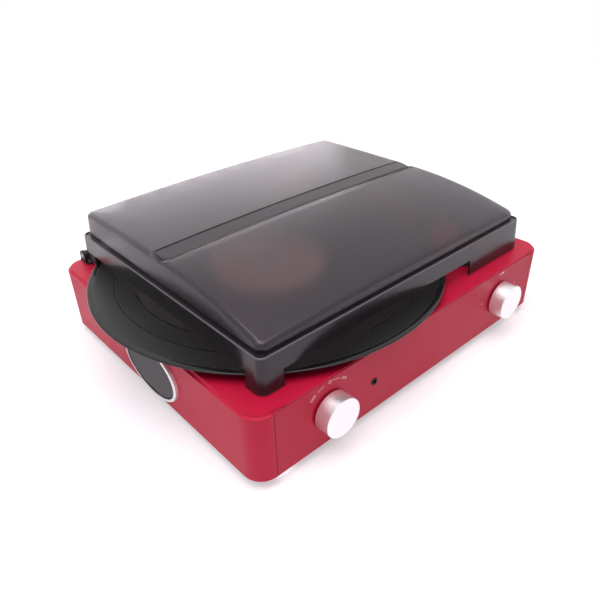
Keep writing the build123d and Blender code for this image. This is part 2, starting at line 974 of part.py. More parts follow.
with BuildPart() as motor_pulley:
    run_low = pulley_z + pulley_rim_thick
    run_high = run_low + pulley_run
    with BuildSketch(turned(pulley_x, pulley_y, 0)):
        with BuildLine():
            Polyline(
                (0, pulley_z - motor_shaft_length),
                (motor_shaft, pulley_z - motor_shaft_length),
                (motor_shaft, pulley_z),
                (pulley_radius + pulley_rim, pulley_z),
                (pulley_radius + pulley_rim, run_low),
                (pulley_radius, run_low),
                (pulley_radius, run_high),
                (pulley_radius + pulley_rim, run_high),
                (pulley_radius + pulley_rim, run_high + pulley_rim_thick),
                (0, run_high + pulley_rim_thick),
                close=True,
            )
        make_face()
    revolve(axis=upright(pulley_x, pulley_y))
save(motor_pulley, "motor_pulley")


def belt_outline(spare, mode):
    """The loop round the ring and the pulley, this far out from both."""
    with BuildSketch(level(belt_z)) as loop:
        with Locations((record_x, record_y)):
            Circle(belt_ring + spare)
        with Locations((pulley_x, pulley_y)):
            Circle(pulley_radius + spare)
        make_hull()
    extrude(loop.sketch, amount=belt_height, mode=mode)


with BuildPart() as drive_belt:
    belt_outline(belt_gap + belt_thick, Mode.ADD)
    belt_outline(belt_gap, Mode.SUBTRACT)
save(drive_belt, "drive_belt")

# Adapter for singles, in its seat on the deck
adapter_thick = 3.6
adapter_edge = 1.0
adapter_dish = 0.6
dish_outer = 12.0
dish_inner = 6.0
with BuildPart() as adapter:
    with BuildSketch(turned(adapter_x, adapter_y, deck_z - adapter_sink)):
        with BuildLine():
            Polyline(
                (record_hole, adapter_thick),
                (record_hole, 0),
                (adapter_radius, 0),
                (adapter_radius, adapter_thick - adapter_edge),
                (adapter_radius - adapter_edge, adapter_thick),
                (dish_outer, adapter_thick),
                (dish_outer - adapter_edge, adapter_thick - adapter_dish),
                (dish_inner + adapter_edge, adapter_thick - adapter_dish),
                (dish_inner, adapter_thick),
                close=True,
            )
        make_face()
    revolve(axis=upright(adapter_x, adapter_y))
save(adapter, "single_adapter")

# Tonearm pedestal: a foot plate with the pivot column and the cue tower
foot_plate_radius = 16.0
foot_plate_thick = 3.0
foot_plate_edge = 0.8
column_radius = 11.0
column_height = 14.0
column_z = deck_z + column_height
gimbal_pin_radius = 4.0
gimbal_pin_length = 10.5
gimbal_bore_depth = 11.0
tower_y = pivot_y - lift_radius
tower_radius = 6.0
tower_foot_radius = 8.0
tower_height = 12.0
plunger_radius = 2.4
plunger_foot = 2.6
plunger_bore_depth = 10.0
lever_height = 7.0
lever_shaft = 1.5
with BuildPart() as tonearm_pedestal:
    with BuildSketch(level(deck_z)):
        with Locations((pivot_x, pivot_y)):
            Circle(foot_plate_radius)
        with Locations((pivot_x, tower_y)):
            Circle(tower_foot_radius)
        make_hull()
    extrude(amount=foot_plate_thick)
    chamfer(tonearm_pedestal.faces().sort_by(Axis.Z)[-1].edges(), length=foot_plate_edge)
    with BuildSketch(level(deck_z + 1)):
        with Locations((pivot_x, pivot_y)):
            Circle(column_radius)
    extrude(amount=column_height - 1)
    with BuildSketch(level(deck_z + 1)):
        with Locations((pivot_x, tower_y)):
            Circle(tower_radius)
    extrude(amount=tower_height - 1)
    with BuildSketch(level(column_z)):
        with Locations((pivot_x, pivot_y)):
            Circle(gimbal_pin_radius + running_gap)
    extrude(amount=-gimbal_bore_depth, mode=Mode.SUBTRACT)
    with BuildSketch(level(deck_z + tower_height)):
        with Locations((pivot_x, tower_y)):
            Circle(plunger_radius + running_gap)
    extrude(amount=-plunger_bore_depth, mode=Mode.SUBTRACT)
    with BuildSketch(section(pivot_x + tower_radius + 1)):
        with Locations((tower_y, lever_height)):
            Circle(lever_shaft + running_gap)
    extrude(amount=-tower_radius, mode=Mode.SUBTRACT)
save(tonearm_pedestal, "tonearm_pedestal")

# Gimbal: turns in the column and holds the arm between two ears
ear_in = 8.2
ear_out = 11.0
ear_reach = 5.0
cross_pin = 1.2
disc_thick = 2.7
disc_low = column_z + part_gap
disc_high = disc_low + disc_thick
with BuildPart() as arm_gimbal:
    with BuildSketch(level(disc_low)):
        with Locations((pivot_x, pivot_y)):
            Circle(column_radius)
    extrude(amount=disc_high - disc_low)
    with BuildSketch(level(disc_low)):
        with Locations((pivot_x, pivot_y)):
            Circle(gimbal_pin_radius)
    extrude(amount=-gimbal_pin_length)
    for side in (-1, 1):
        with BuildSketch(section(pivot_x + side * ear_in)):
            with Locations((pivot_y, arm_height)):
                Circle(ear_reach)
            with Locations((pivot_y, (arm_height + disc_low - deck_z) / 2)):
                Rectangle(2 * ear_reach - 2, arm_height - (disc_low - deck_z))
            with Locations((pivot_y, arm_height)):
                Circle(cross_pin + running_gap, mode=Mode.SUBTRACT)
        extrude(amount=side * (ear_out - ear_in))
    with BuildSketch(level(disc_low)):
        with Locations((pivot_x, pivot_y)):
            Circle(2 * column_radius)
            Circle(column_radius, mode=Mode.SUBTRACT)
    extrude(amount=arm_height, mode=Mode.SUBTRACT)
save(arm_gimbal, "arm_gimbal")

cross_pin_reach = 9.8
with BuildPart() as gimbal_pin:
    with BuildSketch(section(pivot_x - cross_pin_reach)):
        with Locations((pivot_y, arm_height)):
            Circle(cross_pin)
    extrude(amount=2 * cross_pin_reach)
save(gimbal_pin, "gimbal_pin")


def arm_plane(reach):
    """A plane across the arm at this distance in front of its pivot, facing forward."""
    return Plane(
        origin=(case_x + pivot_x, case_y + pivot_y - reach, arm_z),
        x_dir=(1, 0, 0),
        z_dir=(0, -1, 0),
    )


housing_half = 9.0
housing_height = 8.0
housing_corner = 2.5
stub_radius = 2.5
stub_end = 22.0
tube_start = 5.0
tube_end = arm_length - 26.0
with BuildPart() as arm_housing:
    with BuildSketch(arm_plane(-housing_half)):
        RectangleRounded(2 * (ear_in - part_gap), housing_height, housing_corner)
    extrude(amount=2 * housing_half)
    with BuildSketch(arm_plane(-stub_end)):
        Circle(stub_radius)
    extrude(amount=stub_end - housing_half)
    with BuildSketch(arm_plane(tube_start)):
        Circle(tube_radius + running_gap)
    extrude(amount=housing_half, mode=Mode.SUBTRACT)
    with BuildSketch(section(pivot_x - ear_in)):
        with Locations((pivot_y, arm_height)):
            Circle(cross_pin + running_gap)
    extrude(amount=2 * ear_in, mode=Mode.SUBTRACT)
save(arm_housing, "arm_housing")

with BuildPart() as arm_tube:
    with BuildSketch(arm_plane(tube_start)):
        Circle(tube_radius)
    extrude(amount=tube_end - tube_start)
save(arm_tube, "arm_tube")

weight_radius = 8.5
weight_length = 10.0
weight_edge = 1.0
with BuildPart() as counterweight:
    with BuildSketch(arm_plane(-stub_end)):
        Circle(weight_radius)
    extrude(amount=weight_length)
    chamfer(counterweight.edges().filter_by(GeomType.CIRCLE), length=weight_edge)
    with BuildSketch(arm_plane(-stub_end)):
        Circle(stub_radius + running_gap)
    extrude(amount=stub_end, mode=Mode.SUBTRACT)
save(counterweight, "counterweight")

# Headshell with its finger lift, cartridge and stylus
shell_back = arm_length - 30.0
shell_front = arm_length + 9.0
shell_low = -2.0
shell_thick = 4.0
shell_half = 8.0
shell_neck = 4.0
shell_nose = 2.0
sleeve_wall = 1.5
sleeve_length = 10.0
neck_start = 6.0
neck_end = 16.0
lift_tab_x = 10.5
lift_tab_y = 9.0
lift_tab_width = 7.0
lift_tab_depth = 5.0
lift_tab_thick = 1.4
cartridge_half = 6.0
cartridge_height = 12.5
with BuildPart() as headshell:
    with BuildSketch(arm_plane(shell_back)):
        Circle(tube_radius + sleeve_wall)
    extrude(amount=sleeve_length)
    with BuildSketch(Plane(origin=(case_x + pivot_x, case_y + pivot_y, arm_z + shell_low))):
        with BuildLine():
            Polyline(
                (-shell_neck, -shell_back - neck_start),
                (shell_neck, -shell_back - neck_start),
                (shell_half, -shell_back - neck_end),
                (shell_half, -shell_front + shell_nose),
                (shell_half - shell_nose, -shell_front),
                (-shell_half + shell_nose, -shell_front),
                (-shell_half, -shell_front + shell_nose),
                (-shell_half, -shell_back - neck_end),
                close=True,
            )
        make_face()
        with Locations((lift_tab_x, -shell_front + lift_tab_y)):
            RectangleRounded(lift_tab_width, lift_tab_depth, sleeve_wall)
    extrude(amount=shell_thick)
    with BuildSketch(arm_plane(shell_back)):
        Circle(tube_radius + running_gap)
    extrude(amount=tube_end - shell_back, mode=Mode.SUBTRACT)
    tab_z = arm_z + shell_low + lift_tab_thick
    with BuildSketch(Plane(origin=(case_x + pivot_x, case_y + pivot_y, tab_z))):
        with Locations((shell_half + lift_tab_width / 2, -shell_front + lift_tab_y)):
            Rectangle(lift_tab_width, lift_tab_depth + 2)
    extrude(amount=shell_thick, mode=Mode.SUBTRACT)
save(headshell, "headshell")

cartridge_nose = 3.0
cartridge_slope = 3.0
cartridge_length = 21.0
with BuildPart() as cartridge:
    nose_y = pivot_y - shell_front + cartridge_nose
    tail_y = nose_y + cartridge_length
    shell_z = arm_height + shell_low
    with BuildSketch(section(pivot_x - cartridge_half)):
        with BuildLine():
            Polyline(
                (nose_y, shell_z),
                (nose_y, shell_z - cartridge_slope),
                (nose_y + cartridge_slope, cartridge_height),
                (tail_y - cartridge_slope, cartridge_height),
                (tail_y, shell_z - cartridge_slope),
                (tail_y, shell_z),
                close=True,
            )
        make_face()
    extrude(amount=2 * cartridge_half)
save(cartridge, "cartridge")

stylus_half = 3.0
stylus_thick = 1.6
stylus_length = 10.0
cantilever_half = 0.5
cantilever_thick = 0.7
tip_half = 0.2
with BuildPart() as stylus:
    tip = record_z + stylus_gap - deck_z
    tip_y = pivot_y - arm_length
    low = cartridge_height
    with BuildSketch(section(pivot_x - stylus_half)):
        with BuildLine():
            Polyline(
                (tip_y - 2, low),
                (tip_y + 1, low - stylus_thick),
                (tip_y + stylus_length, low - stylus_thick),
                (tip_y + stylus_length, low),
                close=True,
            )
        make_face()
    extrude(amount=2 * stylus_half)
    with BuildSketch(section(pivot_x - cantilever_half)):
        with BuildLine():
            Polyline(
                (tip_y + stylus_length - 2, low - stylus_thick + 0.1),
                (tip_y - cantilever_thick, tip + cantilever_thick),
                (tip_y - tip_half, tip),
                (tip_y + tip_half, tip),
                (tip_y + stylus_length - 2, low - stylus_thick - cantilever_thick),
                close=True,
            )
        make_face()
    extrude(amount=2 * cantilever_half)
save(stylus, "stylus")

# Lift bar: an arc round the arm's pivot on a plunger in the cue tower
bar_gap = 0.4
bar_top = arm_z - tube_radius - bar_gap
bar_thick = 2.0
bar_half = 2.0
bar_start = 220.0
bar_arc = 56.0
with BuildPart() as lift_bar:
    with BuildSketch(level(bar_top - bar_thick)):
        with BuildLine():
            inner = CenterArc((pivot_x, pivot_y), lift_radius - bar_half, bar_start, bar_arc)
            outer = CenterArc((pivot_x, pivot_y), lift_radius + bar_half, bar_start, bar_arc)
            Line(inner @ 0, outer @ 0)
            Line(inner @ 1, outer @ 1)
        make_face()
    extrude(amount=bar_thick)
    with BuildSketch(level(deck_z + plunger_foot)):
        with Locations((pivot_x, tower_y)):
            Circle(plunger_radius)
    extrude(amount=bar_top - deck_z - plunger_foot - bar_thick / 2)
save(lift_bar, "lift_bar")

# Cue lever: turns across the tower, with its handle lying forward
lever_in = pivot_x + plunger_radius + running_gap + part_gap
lever_x = pivot_x + 12.0
lever_hub = 3.5
lever_thick = 3.0
lever_length = 28.0
lever_rise = 0.5
grip_length = 8.0
grip_height = 4.6
grip_width = 6.0
with BuildPart() as cue_lever:
    with BuildSketch(section(lever_in)):
        with Locations((tower_y, lever_height)):
            Circle(lever_shaft)
    extrude(amount=lever_x - lever_in)
    with BuildSketch(section(lever_x)):
        with Locations((tower_y, lever_height)):
            Circle(lever_hub)
        with Locations((tower_y + 2 - lever_length / 2, lever_height + lever_rise)):
            SlotOverall(lever_length, lever_thick)
    extrude(amount=lever_thick)
    with BuildSketch(section(lever_x)):
        with Locations((tower_y + 5 - lever_length, lever_height + lever_rise)):
            RectangleRounded(grip_length, grip_height, 2)
    extrude(amount=grip_width)
save(cue_lever, "cue_lever")

# Arm rest: a post under the tube with a wall outside it, and a clip on that wall
rest_from_tip = 58.9
rest_y = pivot_y - arm_length + rest_from_tip
rest_wall_in = tube_radius + 1.4
rest_wall_out = rest_wall_in + 3.0
rest_floor = arm_z - tube_radius - part_gap
rest_foot_width = 18.0
rest_foot_depth = 16.0
rest_foot_thick = 2.0
rest_foot_corner = 4.0
rest_depth = 10.0
rest_in = 4.0
rest_wall_low = 10.0
rest_wall_corner = 2.5
clip_height = arm_height + 4.5
clip_above = 2.6
clip_reach = (rest_wall_in + rest_wall_out) / 2
clip_pin = 1.2
clip_half = 2.4
clip_hub = 2.6
fork_gap = 0.3
fork_height = 7.4
with BuildPart() as arm_rest:
    with BuildSketch(level(deck_z)):
        with Locations((pivot_x + 1, rest_y)):
            RectangleRounded(rest_foot_width, rest_foot_depth, rest_foot_corner)
    extrude(amount=rest_foot_thick)
    with BuildSketch(level(deck_z + 1)):
        with Locations((pivot_x + (rest_wall_out - rest_in) / 2, rest_y)):
            RectangleRounded(rest_in + rest_wall_out, rest_depth, 1)
    extrude(amount=rest_floor - deck_z - 1)
    with BuildSketch(section(pivot_x + rest_wall_in)):
        with Locations((rest_y, (clip_height + rest_wall_low) / 2)):
            RectangleRounded(
                rest_depth, clip_height - rest_wall_low + 2 * clip_above, rest_wall_corner
            )
    extrude(amount=rest_wall_out - rest_wall_in)
    with BuildSketch(section(pivot_x + rest_wall_in)):
        with Locations((rest_y, clip_height)):
            Rectangle(2 * (clip_half + fork_gap), fork_height)
    extrude(amount=rest_wall_out - rest_wall_in, mode=Mode.SUBTRACT)
    clip_x = pivot_x + clip_reach
    with BuildSketch(Plane.XZ.offset(-case_y - rest_y - rest_depth / 2)):
        with Locations((case_x + clip_x, deck_z + clip_height)):
            Circle(clip_pin + running_gap)
    extrude(amount=rest_depth, mode=Mode.SUBTRACT)
save(arm_rest, "arm_rest")

clip_open = 110.0
hook_reach = 4.2
hook_thick = 1.4
hook_drop = 4.5
clip_plane = Plane(
    origin=(case_x + clip_x, case_y + rest_y, deck_z + clip_height),
    x_dir=(cos(radians(clip_open)), 0, -sin(radians(clip_open))),
    z_dir=(0, -1, 0),
)
with BuildPart() as arm_clip:
    with BuildSketch(clip_plane):
        Circle(clip_pin)
    extrude(amount=rest_depth / 2, both=True)
    with BuildSketch(clip_plane):
        Circle(clip_hub)
        with BuildLine():
            Polyline(
                (0, clip_hub),
                (-clip_reach - hook_reach, hook_thick - 0.2),
                (-clip_reach - hook_reach - 1, -hook_drop),
                (-clip_reach - hook_reach - 1 + hook_thick, -hook_drop - 0.3),
                (-clip_reach - hook_reach + hook_thick, -0.6),
                (-1, -1.6),
                close=True,
            )
        make_face()
    extrude(amount=clip_half, both=True)
save(arm_clip, "arm_clip")


# Sliding switches: a slotted plate on the deck, and a button with a stem in the slot
switch_plate_width = 12.0
switch_plate_spare = 10.0
switch_plate_thick = 1.0
switch_plate_corner = 2.0
switch_slot_play = 0.3
button_width = 7.0
button_height = 3.4
button_corner = 1.0
button_lean = 8.0
stem_below = 1.0


def switch_plate(y, travel):
    """The slotted plate of one switch."""
    with BuildPart() as plate:
        with BuildSketch(level(deck_z)):
            with Locations((switch_x, y)):
                RectangleRounded(
                    switch_plate_width, travel + 2 * switch_plate_spare, switch_plate_corner
                )
                Rectangle(
                    stem_width + 2 * switch_slot_play,
                    travel + stem_length + 2 * stem_gap,
                    mode=Mode.SUBTRACT,
                )
        extrude(amount=switch_plate_thick)
    return plate


def switch_button(y, travel):
    """The button of one switch, at the front end of its travel."""
    with BuildPart() as button:
        with BuildSketch(level(deck_z - deck_thick - stem_below)):
            with Locations((switch_x, y - travel / 2)):
                Rectangle(stem_width, stem_length)
        extrude(amount=stem_below + deck_thick + switch_plate_thick + part_gap)
        with BuildSketch(level(deck_z + switch_plate_thick + part_gap)):
            with Locations((switch_x, y - travel / 2)):
                RectangleRounded(button_width, button_length, button_corner)
        extrude(amount=button_height, taper=button_lean)
    return button


save(switch_plate(speed_y, speed_travel), "speed_plate")
save(switch_button(speed_y, speed_travel), "speed_button")
save(switch_plate(autostop_y, autostop_travel), "autostop_plate")
save(switch_button(autostop_y, autostop_travel), "autostop_button")

# Lid: a thin smoked moulding, made as an outer form less an inner one. Its top is an
# arched profile carried round a far-off axis, which crowns it from side to side.
crown_axis_z = deck_z + dome_back_height + dome_crown - (
    (lid_half - ledge_width) ** 2 + dome_crown**2
) / (2 * dome_crown)
crown_arc = 3.6
dome_front = lid_front + ledge_width
dome_back = lid_rear - ledge_width
bow_mid = 52.0
bow_end = 105.0
profile_spare = 2.0
cut_spare = 6.0
roof_lift = 0.3
top_height = dome_back_height + dome_crown
crown_lean = radians(-crown_arc)
crown_reach = deck_z - crown_axis_z
crown_plane = Plane(
    origin=(
        case_x + crown_reach * sin(crown_lean),
        case_y,
        crown_axis_z + crown_reach * cos(crown_lean),
    ),
    x_dir=(0, 1, 0),
    z_dir=(cos(crown_lean), 0, -sin(crown_lean)),
)
crown_axis = Axis((case_x, case_y, crown_axis_z), (0, 1, 0))


def lid_plane(height):
    """A plane that faces up, over the middle of the lid's own outline."""
    return Plane(origin=(case_x, case_y + lid_middle, height))


def crowned(points):
    """A band with this outline, in heights above the deck, carried round the crown."""
    with BuildPart() as band:
        with BuildSketch(crown_plane):
            with BuildLine():
                Polyline(*points, close=True)
            make_face()
        revolve(axis=crown_axis, revolution_arc=2 * crown_arc)
    return band.part


def dome(inset):
    """The dome as a solid form, this far inside the outer surface."""
    front = dome_front - profile_spare
    back = dome_back + profile_spare
    fall = inset - dome_crown
    with BuildPart() as form:
        with BuildSketch(lid_plane(flange_z - dome_root - inset)):
            RectangleRounded(
                lid_width - 2 * (ledge_width + inset),
                lid_depth - 2 * (ledge_width + inset),
                dome_corner - inset,
            )
        extrude(amount=top_height, taper=dome_draft)
        with BuildSketch(crown_plane):
            with BuildLine():
                bow = ThreePointArc(
                    (front, dome_front_height - fall - 1),
                    (dome_front + bow_mid, dome_mid_height - fall),
                    (dome_front + bow_end, dome_back_height - fall),
                )
                rear = TangentArc(
                    bow @ 1, (back, dome_rear_height - fall), tangent=bow % 1
                )
                Polyline(rear @ 1, (back, 0), (front, 0), bow @ 0)
            make_face()
        revolve(axis=crown_axis, revolution_arc=2 * crown_arc, mode=Mode.INTERSECT)
        rim = [
            edge
            for edge in form.edges()
            if edge.center().Z > flange_z + 2
            and not (
                abs(edge.center().Y - case_y - dome_front - bow_end) < 2 and edge.length > 100
            )
            and abs(edge.tangent_at(0.5).Z) < 0.5
        ]
        fillet(rim, radius=dome_round - inset)
    return form.part


def skirt_form(inset, low, high):
    """The flared block of the skirt between two heights, this far inside its outer face."""
    spread = skirt_slope * (flange_z - low) - inset
    with BuildPart() as block:
        with BuildSketch(lid_plane(low)):
            RectangleRounded(lid_width + 2 * spread, lid_depth + 2 * spread, lid_corner + spread)
        extrude(amount=high - low, taper=skirt_angle)
    return block.part


with BuildPart() as scoop:
    with BuildSketch(level(flange_z)):
        with Locations((0, (scoop_front + scoop_back + cut_spare) / 2)):
            RectangleRounded(
                2 * (lid_half - scoop_side), scoop_back + cut_spare - scoop_front, scoop_corner
            )
    extrude(amount=top_height)
    add(
        crowned(
            [
                (scoop_front, top_height + cut_spare),
                (scoop_front, top_height - scoop_sink),
                (scoop_back, top_height + roof_lift),
                (scoop_back, top_height + cut_spare),
            ]
        ),
        mode=Mode.INTERSECT,
    )

with BuildPart() as lid_inside:
    add(dome(lid_wall))
    add(
        crowned(
            [
                (scoop_front - lid_wall, top_height + cut_spare),
                (scoop_front - lid_wall, top_height - scoop_sink - lid_wall),
                (scoop_front + 1, top_height - scoop_sink - lid_wall),
                (scoop_back + 2 * lid_wall, top_height - lid_wall - 2 * roof_lift),
                (scoop_back + 2 * lid_wall, top_height + cut_spare),
            ]
        ),
        mode=Mode.SUBTRACT,
    )
    add(skirt_form(lid_wall, deck_z - 1, flange_z - lid_wall))

with BuildPart() as dust_cover:
    add(skirt_form(0, deck_z + lid_clear, flange_z))
    chamfer(dust_cover.faces().sort_by(Axis.Z)[-1].edges(), length=flange_edge)
    with BuildSketch(lid_plane(flange_z)):
        RectangleRounded(
            lid_width - 2 * groove_lip, lid_depth - 2 * groove_lip, lid_corner - groove_lip
        )
    extrude(amount=-groove_depth, mode=Mode.SUBTRACT)
    add(dome(0))
    add(
        crowned(
            [
                (trough_front, top_height + cut_spare),
                (trough_front, top_height + roof_lift),
                (trough_low, top_height - trough_sink),
                (trough_back, top_height + roof_lift),
                (trough_back, top_height + cut_spare),
            ]
        ),
        mode=Mode.SUBTRACT,
    )
    add(scoop.part, mode=Mode.SUBTRACT)
    add(lid_inside.part, mode=Mode.SUBTRACT)
    # Cut-outs that let the record pass, from below up to the notch height
    with BuildSketch(level(deck_z)):
        notch_left = post_width - lid_half
        notch_reach = lid_wall + skirt_flare + 1
        with Locations(((notch_left + skirt_start) / 2, lid_front)):
            Rectangle(skirt_start - notch_left, 2 * notch_reach)
        with Locations((-lid_half, (lid_front + post_depth + lid_rear + 2) / 2)):
            Rectangle(2 * notch_reach, lid_depth - post_depth + 2)
        with Locations((0, lid_rear)):
            Rectangle(lid_width + 2 * notch_reach, 4 * notch_reach)
        with Locations((lid_half, (skirt_end + lid_rear + 2) / 2)):
            Rectangle(4 * notch_reach, lid_rear + 2 - skirt_end)
    extrude(amount=notch_height, mode=Mode.SUBTRACT)
save(dust_cover, "dust_cover")

# Lid bumpers, tucked into the two front corners, outside the record's edge
bumper_gap = 0.25
bumper_height = 6.8
bumper_radius = 3.0
# Each bumper's centre lies on the corner's diagonal, clear of the wall at the bumper's top.
bumper_flare = skirt_slope * (flange_height - bumper_height)
bumper_slack = lid_corner + bumper_flare - lid_wall - bumper_radius - seat_gap
bumper_inset = lid_corner - bumper_slack / sqrt(2)
with BuildPart() as lid_bumpers:
    with BuildSketch(level(deck_z + bumper_gap)):
        for side in (-1, 1):
            with Locations((side * (lid_half - bumper_inset), lid_front + bumper_inset)):
                Circle(bumper_radius)
    extrude(amount=bumper_height - bumper_gap)
save(lid_bumpers, "lid_bumpers")

# Lid hinges: a bracket on the deck, a pin through its ears, and an arm on the lid
ear_radius = 4.6
knuckle_radius = 3.8
bracket_base = 1.5
leg_reach = 18.3
leg_width = 7.8
leg_top = 26.0
leg_shoulder = 12.5


def hinge_bracket(side):
    """The fixed half: a base plate with an ear on each side of the knuckle."""
    with BuildPart() as bracket:
        with BuildSketch(level(deck_z)):
            with Locations((side * bracket_mid, hinge_y)):
                RectangleRounded(bracket_out - bracket_in, bracket_depth, bracket_base)
            with Locations(*[(side * bracket_mid, y) for y in bracket_screw_y]):
                Circle(bracket_screw_radius + running_gap, mode=Mode.SUBTRACT)
        extrude(amount=bracket_base)
        for near in (bracket_in, bracket_out - ear_thick):
            with BuildSketch(section(side * near)):
                with Locations((hinge_y, hinge_height)):
                    Circle(ear_radius)
                with Locations((hinge_y, hinge_height / 2)):
                    Rectangle(2 * ear_radius, hinge_height)
            extrude(amount=side * ear_thick)
        with BuildSketch(section(side * (bracket_in - 1))):
            with Locations((hinge_y, hinge_height)):
                Circle(hinge_pin + running_gap)
        extrude(amount=side * (bracket_out - bracket_in + 2), mode=Mode.SUBTRACT)
    return bracket


def hinge_arm(side):
    """The moving half: a knuckle on the pin, and a leg that is fixed inside the lid."""
    with BuildPart() as arm:
        with BuildSketch(section(side * (arm_face - arm_thick))):
            with BuildLine():
                Polyline(
                    (hinge_y - leg_reach, hinge_height - knuckle_radius),
                    (hinge_y - leg_reach, leg_top),
                    (hinge_y - leg_reach + leg_width, leg_top),
                    (hinge_y - leg_reach + leg_width + 1, leg_shoulder),
                    (hinge_y, hinge_height + knuckle_radius),
                    (hinge_y, hinge_height - knuckle_radius),
                    close=True,
                )
            make_face()
        extrude(amount=side * (arm_thick + skirt_flare))
        # Its outer face leans with the wall that it is fixed to.
        trim_plane = Plane(
            origin=(case_x, case_y + hinge_y, deck_z), x_dir=(side, 0, 0), z_dir=(0, -side, 0)
        )
        with BuildSketch(trim_plane):
            with BuildLine():
                Polyline(
                    (arm_face - arm_thick, 0),
                    (arm_face - arm_thick, flange_height),
                    (arm_face, flange_height),
                    (arm_face + skirt_slope * flange_height, 0),
                    close=True,
                )
            make_face()
        extrude(amount=2 * leg_reach, both=True, mode=Mode.INTERSECT)
        with BuildSketch(section(side * (arm_face - arm_thick))):
            with Locations((hinge_y, hinge_height)):
                Circle(knuckle_radius)
        extrude(amount=side * (knuckle_out - arm_face + arm_thick))
        with BuildSketch(section(side * (arm_face - arm_thick - 1))):
            with Locations((hinge_y, hinge_height)):
                Circle(hinge_pin + running_gap)
        extrude(amount=side * (knuckle_out - arm_face + arm_thick + 2), mode=Mode.SUBTRACT)
    return arm


for side, word in ((-1, "left"), (1, "right")):
    save(hinge_bracket(side), f"{word}_hinge_bracket")
    save(hinge_arm(side), f"{word}_hinge_arm")

with BuildPart() as hinge_pins:
    for side in (-1, 1):
        with BuildSketch(section(side * bracket_in)):
            with Locations((hinge_y, hinge_height)):
                Circle(hinge_pin)
        extrude(amount=side * (bracket_out - bracket_in))
save(hinge_pins, "hinge_pins")

bracket_head_radius = 2.2
bracket_head_thick = 1.0
bracket_screw_length = 7.0
with BuildPart() as bracket_screws:
    with BuildSketch(level(deck_z + bracket_base)):
        with Locations(*bracket_screw_places):
            Circle(bracket_head_radius)
    extrude(amount=bracket_head_thick)
    with BuildSketch(level(deck_z + bracket_base)):
        with Locations(*bracket_screw_places):
            Circle(bracket_screw_radius)
    extrude(amount=-bracket_screw_length)
save(bracket_screws, "bracket_screws")
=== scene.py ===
"""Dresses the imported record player: finishes, fine details, studio and camera.

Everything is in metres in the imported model's own frame. X runs to the right, Y to the
back and Z up. Sizes come from the CAD boxes or stand as named values in millimetres.
"""
import logging
import math
from dataclasses import dataclass
from enum import Enum

import bmesh
import bpy
from mathutils import Matrix, Vector
from mathutils.bvhtree import BVHTree


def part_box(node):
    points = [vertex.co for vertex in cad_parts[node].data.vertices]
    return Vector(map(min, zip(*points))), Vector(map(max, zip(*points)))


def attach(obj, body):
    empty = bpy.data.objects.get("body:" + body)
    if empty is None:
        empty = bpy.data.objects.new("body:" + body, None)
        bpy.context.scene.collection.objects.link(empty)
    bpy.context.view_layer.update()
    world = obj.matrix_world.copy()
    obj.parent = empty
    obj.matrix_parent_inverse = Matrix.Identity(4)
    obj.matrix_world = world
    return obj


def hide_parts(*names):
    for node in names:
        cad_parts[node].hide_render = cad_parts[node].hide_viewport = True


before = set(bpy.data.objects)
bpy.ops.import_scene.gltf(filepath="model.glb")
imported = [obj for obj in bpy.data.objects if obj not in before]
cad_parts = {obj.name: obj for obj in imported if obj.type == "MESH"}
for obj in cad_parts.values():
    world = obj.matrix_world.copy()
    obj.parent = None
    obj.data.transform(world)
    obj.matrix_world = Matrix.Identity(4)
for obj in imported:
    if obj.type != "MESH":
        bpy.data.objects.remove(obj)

log = logging.getLogger("record_player")
MM = 0.001
RIGHT, BACK, UP = Vector((1, 0, 0)), Vector((0, 1, 0)), Vector((0, 0, 1))
FIT = 0.05  # Gap that keeps two faces apart, in mm.
NOISE_RANGE = (0.3, 0.7)  # Between these, soft noise spends most of its time.
SENSOR = 36.0  # Width of the camera's sensor, in mm.

Corners = tuple[tuple[float, float], ...]
Place = tuple[float, float, float]
Faces = list[tuple[int, ...]]
Mesh, Object = bpy.types.Mesh, bpy.types.Object
Node, Socket = bpy.types.Node, bpy.types.NodeSocket


class Axis(Enum):
    """The axis that a turned piece was turned round, with its number."""

    Y = 1
    Z = 2


class Side(Enum):
    """A side of the case, with the sign of its X."""

    LEFT = -1
    RIGHT = 1


# --------------------------------------------------------------------------- nodes


def linear(code: str) -> tuple[float, float, float, float]:
    """Turns an sRGB hex code into Blender's linear colour.

    Args:
        code: Six hex digits after a hash sign.

    Returns:
        Red, green, blue and an alpha of 1, in linear light.
    """
    parts = [int(code[start : start + 2], 16) / 255 for start in (1, 3, 5)]
    toned = [part / 12.92 if part <= 0.04045 else ((part + 0.055) / 1.055) ** 2.4 for part in parts]
    return (toned[0], toned[1], toned[2], 1.0)


